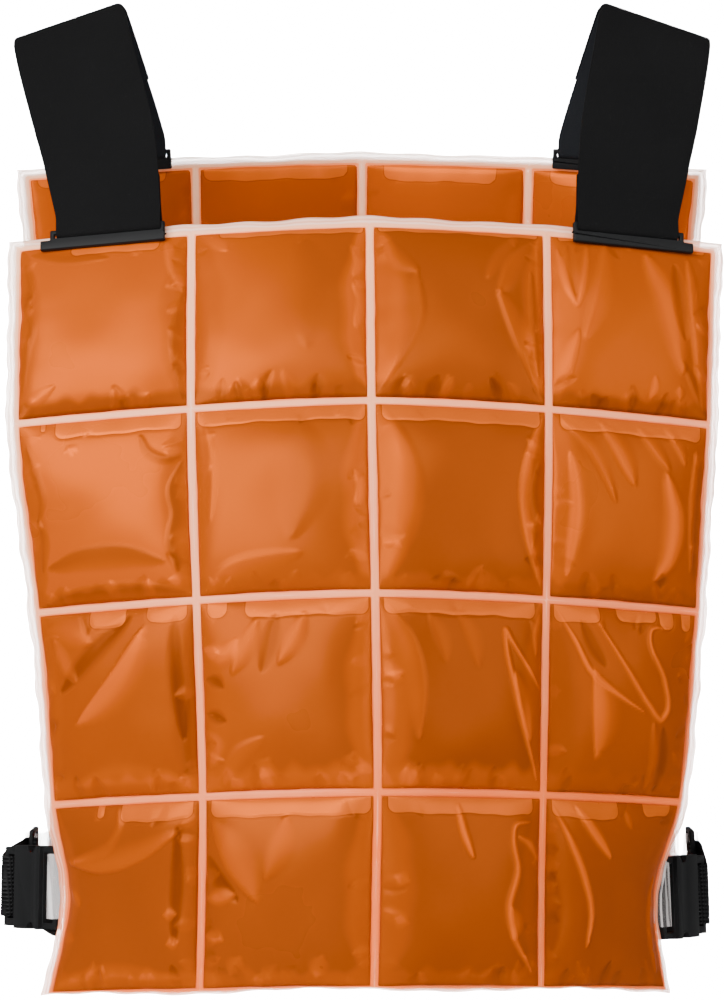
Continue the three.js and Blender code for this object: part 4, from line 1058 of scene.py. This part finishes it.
def block(low, high, corners=0.0, only=None):
    """A box between two corners. Its upright edges are rounded, or only those on one side along x."""
    low, high = np.array(low) * MM, np.array(high) * MM
    bpy.ops.mesh.primitive_cube_add(size=1, location=tuple((low + high) / 2), scale=tuple(high - low))
    bpy.ops.object.transform_apply(location=True, rotation=True, scale=True)
    made = bpy.context.object
    if corners:
        bpy.ops.object.mode_set(mode="EDIT")
        work = bmesh.from_edit_mesh(made.data)
        for edge in work.edges:
            first, second = (vertex.co for vertex in edge.verts)
            upright = abs(first.z - second.z) > abs(first.x - second.x) + abs(first.y - second.y)
            middle = (low[0] + high[0]) / 2
            edge.select_set(upright and (only is None or (first.x - middle) * only > 0))
        bmesh.update_edit_mesh(made.data)
        bpy.ops.mesh.bevel(offset=corners * MM, segments=5, affect="EDGES")
        bpy.ops.object.mode_set(mode="OBJECT")
    return made


def peg(place, radius, low, high):
    """A round peg that stands along z."""
    bpy.ops.mesh.primitive_cylinder_add(
        vertices=32, radius=radius * MM, depth=(high - low) * MM,
        location=(place[0] * MM, place[1] * MM, (low + high) / 2 * MM),
    )
    bpy.ops.object.transform_apply(location=True, rotation=True, scale=True)
    return bpy.context.object


def combine(piece, tool, operation="DIFFERENCE"):
    """Cuts a tool out of a piece, or joins it to the piece, and removes the tool."""
    bpy.context.view_layer.objects.active = piece
    work = piece.modifiers.new("cut or join", "BOOLEAN")
    work.operation = operation
    work.object = tool
    work.solver = "EXACT"
    bpy.ops.object.modifier_apply(modifier=work.name)
    bpy.data.objects.remove(tool, do_unlink=True)


def directions(node):
    """Where a flat node of the part lies: its middle, and the directions of its thickness and of its length, both
    read off its largest faces."""
    source = bpy.data.objects[node]
    turn = source.matrix_world.to_3x3()
    normals = np.array([turn @ face.normal for face in source.data.polygons])
    areas = np.array([face.area for face in source.data.polygons])
    weights = np.array([areas[normals @ normal > 0.999].sum() for normal in normals])
    out = normals[weights.argmax()]
    level = np.abs(normals @ out) < 0.05
    side = normals[np.where(level, weights, 0).argmax()]
    axes = np.stack([out, side, np.cross(out, side)])
    points = np.array([source.matrix_world @ vertex.co for vertex in source.data.vertices])
    local = points @ axes.T
    middle = (local.max(axis=0) + local.min(axis=0)) / 2 @ axes
    return middle / MM, axes, (local.max(axis=0) - local.min(axis=0)) / MM


def settle(piece, name, node, frame_axes, middle, moves=()):
    """Puts a moulded piece that was made at the origin where a node of the part lies. frame_axes are the directions
    that its own x, y and z take."""
    points = np.empty(len(piece.data.vertices) * 3)
    piece.data.vertices.foreach_get("co", points)
    points = points.reshape(-1, 3) / MM @ np.array(frame_axes) + middle
    for move in moves:
        points = move(points)
    piece.data.vertices.foreach_set("co", (points * MM).ravel())
    piece.data.update()
    piece.name = piece.data.name = name
    make_outward(piece)
    dress(piece, PLASTIC)
    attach(piece, "root")
    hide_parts(node)


def buckle_axes(side):
    """A buckle's own directions: back along it, up, and out from the wearer."""
    middle, axes, _ = directions(f"buckle_socket_{side}")
    sideways = sorted(axes, key=lambda axis: abs(axis[2]))
    up = sideways[2] * np.sign(sideways[2][2])
    flat = sorted(sideways[:2], key=lambda axis: abs(axis[1]))
    along = flat[1] * np.sign(flat[1][1])
    out = flat[0] * SIGNS[side] * np.sign(flat[0][0])
    return middle, (along, up, out)


def socket():
    """The outer half of a buckle: an open frame round the clear loop, and a hollow body with a round notch at each
    side, where the prongs of the other half show."""
    body = block((-6.3, -22, -4.4), (20.7, 22, 4.4), 2.4)
    frame_plate = block((-20.7, -21.4, -1.9), (-5, 21.4, 1.9), 4.4, only=-1)
    combine(frame_plate, block((-17.2, -18.4, -4), (-6.6, 18.4, 4), 1.0))
    combine(body, frame_plate, "UNION")
    for sign in (-1, 1):
        combine(body, peg((2.4, sign * 22.6), 4.3, -8, 8))
    combine(body, block((3, -19.4, -2.7), (24, 19.4, 2.7)))
    round_edges(body, 0.7)
    return body


def plug():
    """The inner half: a frame with the webbing's bar, and two prongs that end in the socket's notches."""
    stub = block((21.2, -21, -2.0), (35.4, 21, 2.0), 7.5, only=1)
    combine(stub, block((25.2, -17, -5), (31.6, 17, 5), 0.8))
    for sign in (-1, 1):
        low, high = sorted((sign * 13.6, sign * 17.4))
        combine(stub, block((0, low, -2.2), (23, high, 2.2)), "UNION")
        combine(stub, peg((2.4, sign * 17.6), 3.3, -2.2, 2.2), "UNION")
    combine(stub, block((0, -3, -2.2), (23, 3, 2.2)), "UNION")
    round_edges(stub, 0.5)
    return stub


def ring(panel, side):
    """A flat bar for a strap. Only its outer edge and its ends show beside the strap."""
    node = f"{panel}_ring_{side}"
    middle, axes, size = directions(node)
    across = max(axes, key=lambda axis: abs(axis[0]))
    down = max((axis for axis in axes if axis is not across), key=lambda axis: abs(axis[2]))
    out = [axis for axis in axes if axis is not across and axis is not down][0]
    across, down = across * np.sign(across[0]), down * -np.sign(down[2])
    out = out * (-1 if panel == "front" else 1) * np.sign(out[1])
    half = size.max() / 2
    middle_of_strap = -STRAP_SHIFT * SIGNS[side]
    low, high = middle_of_strap - STRAP_SLOT / 2, middle_of_strap + STRAP_SLOT / 2
    bar = block((-half, 0.3, -1.5), (half, 5.6, 1.5))
    combine(bar, block((low - 2.4, -5.2, -1.5), (high + 2.4, 2, 1.5)), "UNION")
    combine(bar, block((low, -2.9, -4), (high, -0.5, 4)))
    round_edges(bar, 0.8, 4)
    moves = (lambda points: points + RING_PULL,) if panel == "front" else ()
    settle(bar, f"{node}_moulded", node, (across, down, out), middle, moves)


halves = {"socket": socket(), "plug": plug()}
for side in ("right", "left"):
    for panel in PANELS:
        moves = [lambda points, side=side: round_fold(points, side)]
        if panel == "front":
            moves.append(strap_hang)
        # The back straps get the black cloth painted lighter, as painted light.
        cloth = CLOTH if panel == "front" else BACK_CLOTH_PAINTED_LIGHTER
        finished_copy(f"shoulder_strap_{panel}_{side}", cloth, levels=3, moves=moves)
        loop_moves = (loop_swing(side),) if panel == "front" else ()
        finished_copy(f"{panel}_loop_{side}", CLEAR, levels=2, moves=loop_moves)
        ring(panel, side)
    finished_copy(f"side_webbing_{side}", WEBBING, levels=2, moves=(webbing_swing(side),))
    middle, axes = buckle_axes(side)
    for half, model in halves.items():
        node = f"buckle_{half}_{side}"
        piece = bpy.data.objects.new(node, model.data.copy())
        bpy.context.scene.collection.objects.link(piece)
        settle(piece, f"{node}_moulded", node, axes, middle, (lambda points, side=side: swing(points, side),))
    finished_copy(f"side_link_{side}", PLASTIC, round_off=0.5)
for model in halves.values():
    bpy.data.objects.remove(model, do_unlink=True)

# The stage, the lights and the camera

FLOOR = -1.4
BACKDROP = 5.4
CAMERA_DISTANCE, CAMERA_HEIGHT, CAMERA_LENS = 2.233, -0.252, 151.2


def stage():
    """A pale floor that curves up into a backdrop."""
    bend = 0.6
    profile = [(-5.0, FLOOR), (BACKDROP - bend, FLOOR)]
    profile += [
        (BACKDROP - bend + bend * math.sin(a), FLOOR + bend * (1 - math.cos(a)))
        for a in np.linspace(0, math.pi / 2, 13)[1:]
    ]
    profile.append((BACKDROP, 4.0))
    points = [(x, y, z) for y, z in profile for x in (-5.5, 5.5)]
    faces = [(2 * i, 2 * i + 1, 2 * i + 3, 2 * i + 2) for i in range(len(profile) - 1)]
    paint = Paint("pale backdrop", Roughness=0.9)
    paint.set(Base_Color=paint.mix(paint.noise(2.0), (0.9, 0.9, 0.9), (0.93, 0.93, 0.93)))
    piece = new_piece("backdrop", np.array(points) / MM, faces, paint.material)
    piece.visible_glossy = False


def softbox(name, place, size, power, aim=(0, 0, -0.27), spread=180):
    """A soft light that points at aim. spread is the width of its beam, in degrees."""
    light = bpy.data.lights.new(name, "AREA")
    light.spread = math.radians(spread)
    light.shape = "RECTANGLE"
    light.size, light.size_y = size
    light.energy = power
    lamp = bpy.data.objects.new(name, light)
    lamp.location = place
    lamp.visible_camera = False
    lamp.rotation_euler = (Vector(aim) - Vector(place)).to_track_quat("-Z", "Y").to_euler()
    bpy.context.scene.collection.objects.link(lamp)


def camera():
    """Level with the middle of the photograph, and as far off as its perspective shows."""
    data = bpy.data.cameras.new("camera")
    data.lens = CAMERA_LENS
    seen = bpy.data.objects.new("camera", data)
    seen.location = (0, -CAMERA_DISTANCE, CAMERA_HEIGHT)
    seen.rotation_euler = (math.pi / 2, 0, 0)
    bpy.context.scene.collection.objects.link(seen)
    bpy.context.scene.camera = seen


stage()
softbox("key softbox", (-1.5, -2.0, 0.55), (1.9, 1.9), 130)
softbox("right softbox", (1.9, -1.5, 0.2), (1.2, 2.0), 32)
softbox("overhead softbox", (0, -2.5, 1.6), (2.4, 1.2), 60)
softbox("backdrop wash", (0, 1.2, CAMERA_HEIGHT), (2.0, 2.0), 900, aim=(0, BACKDROP, CAMERA_HEIGHT), spread=60)
world = bpy.data.worlds.new("soft daylight")
world.use_nodes = True
daylight = world.node_tree.nodes["Background"].inputs
daylight["Color"].default_value = (1, 1, 1, 1)
daylight["Strength"].default_value = 0.35
bpy.context.scene.world = world
camera()
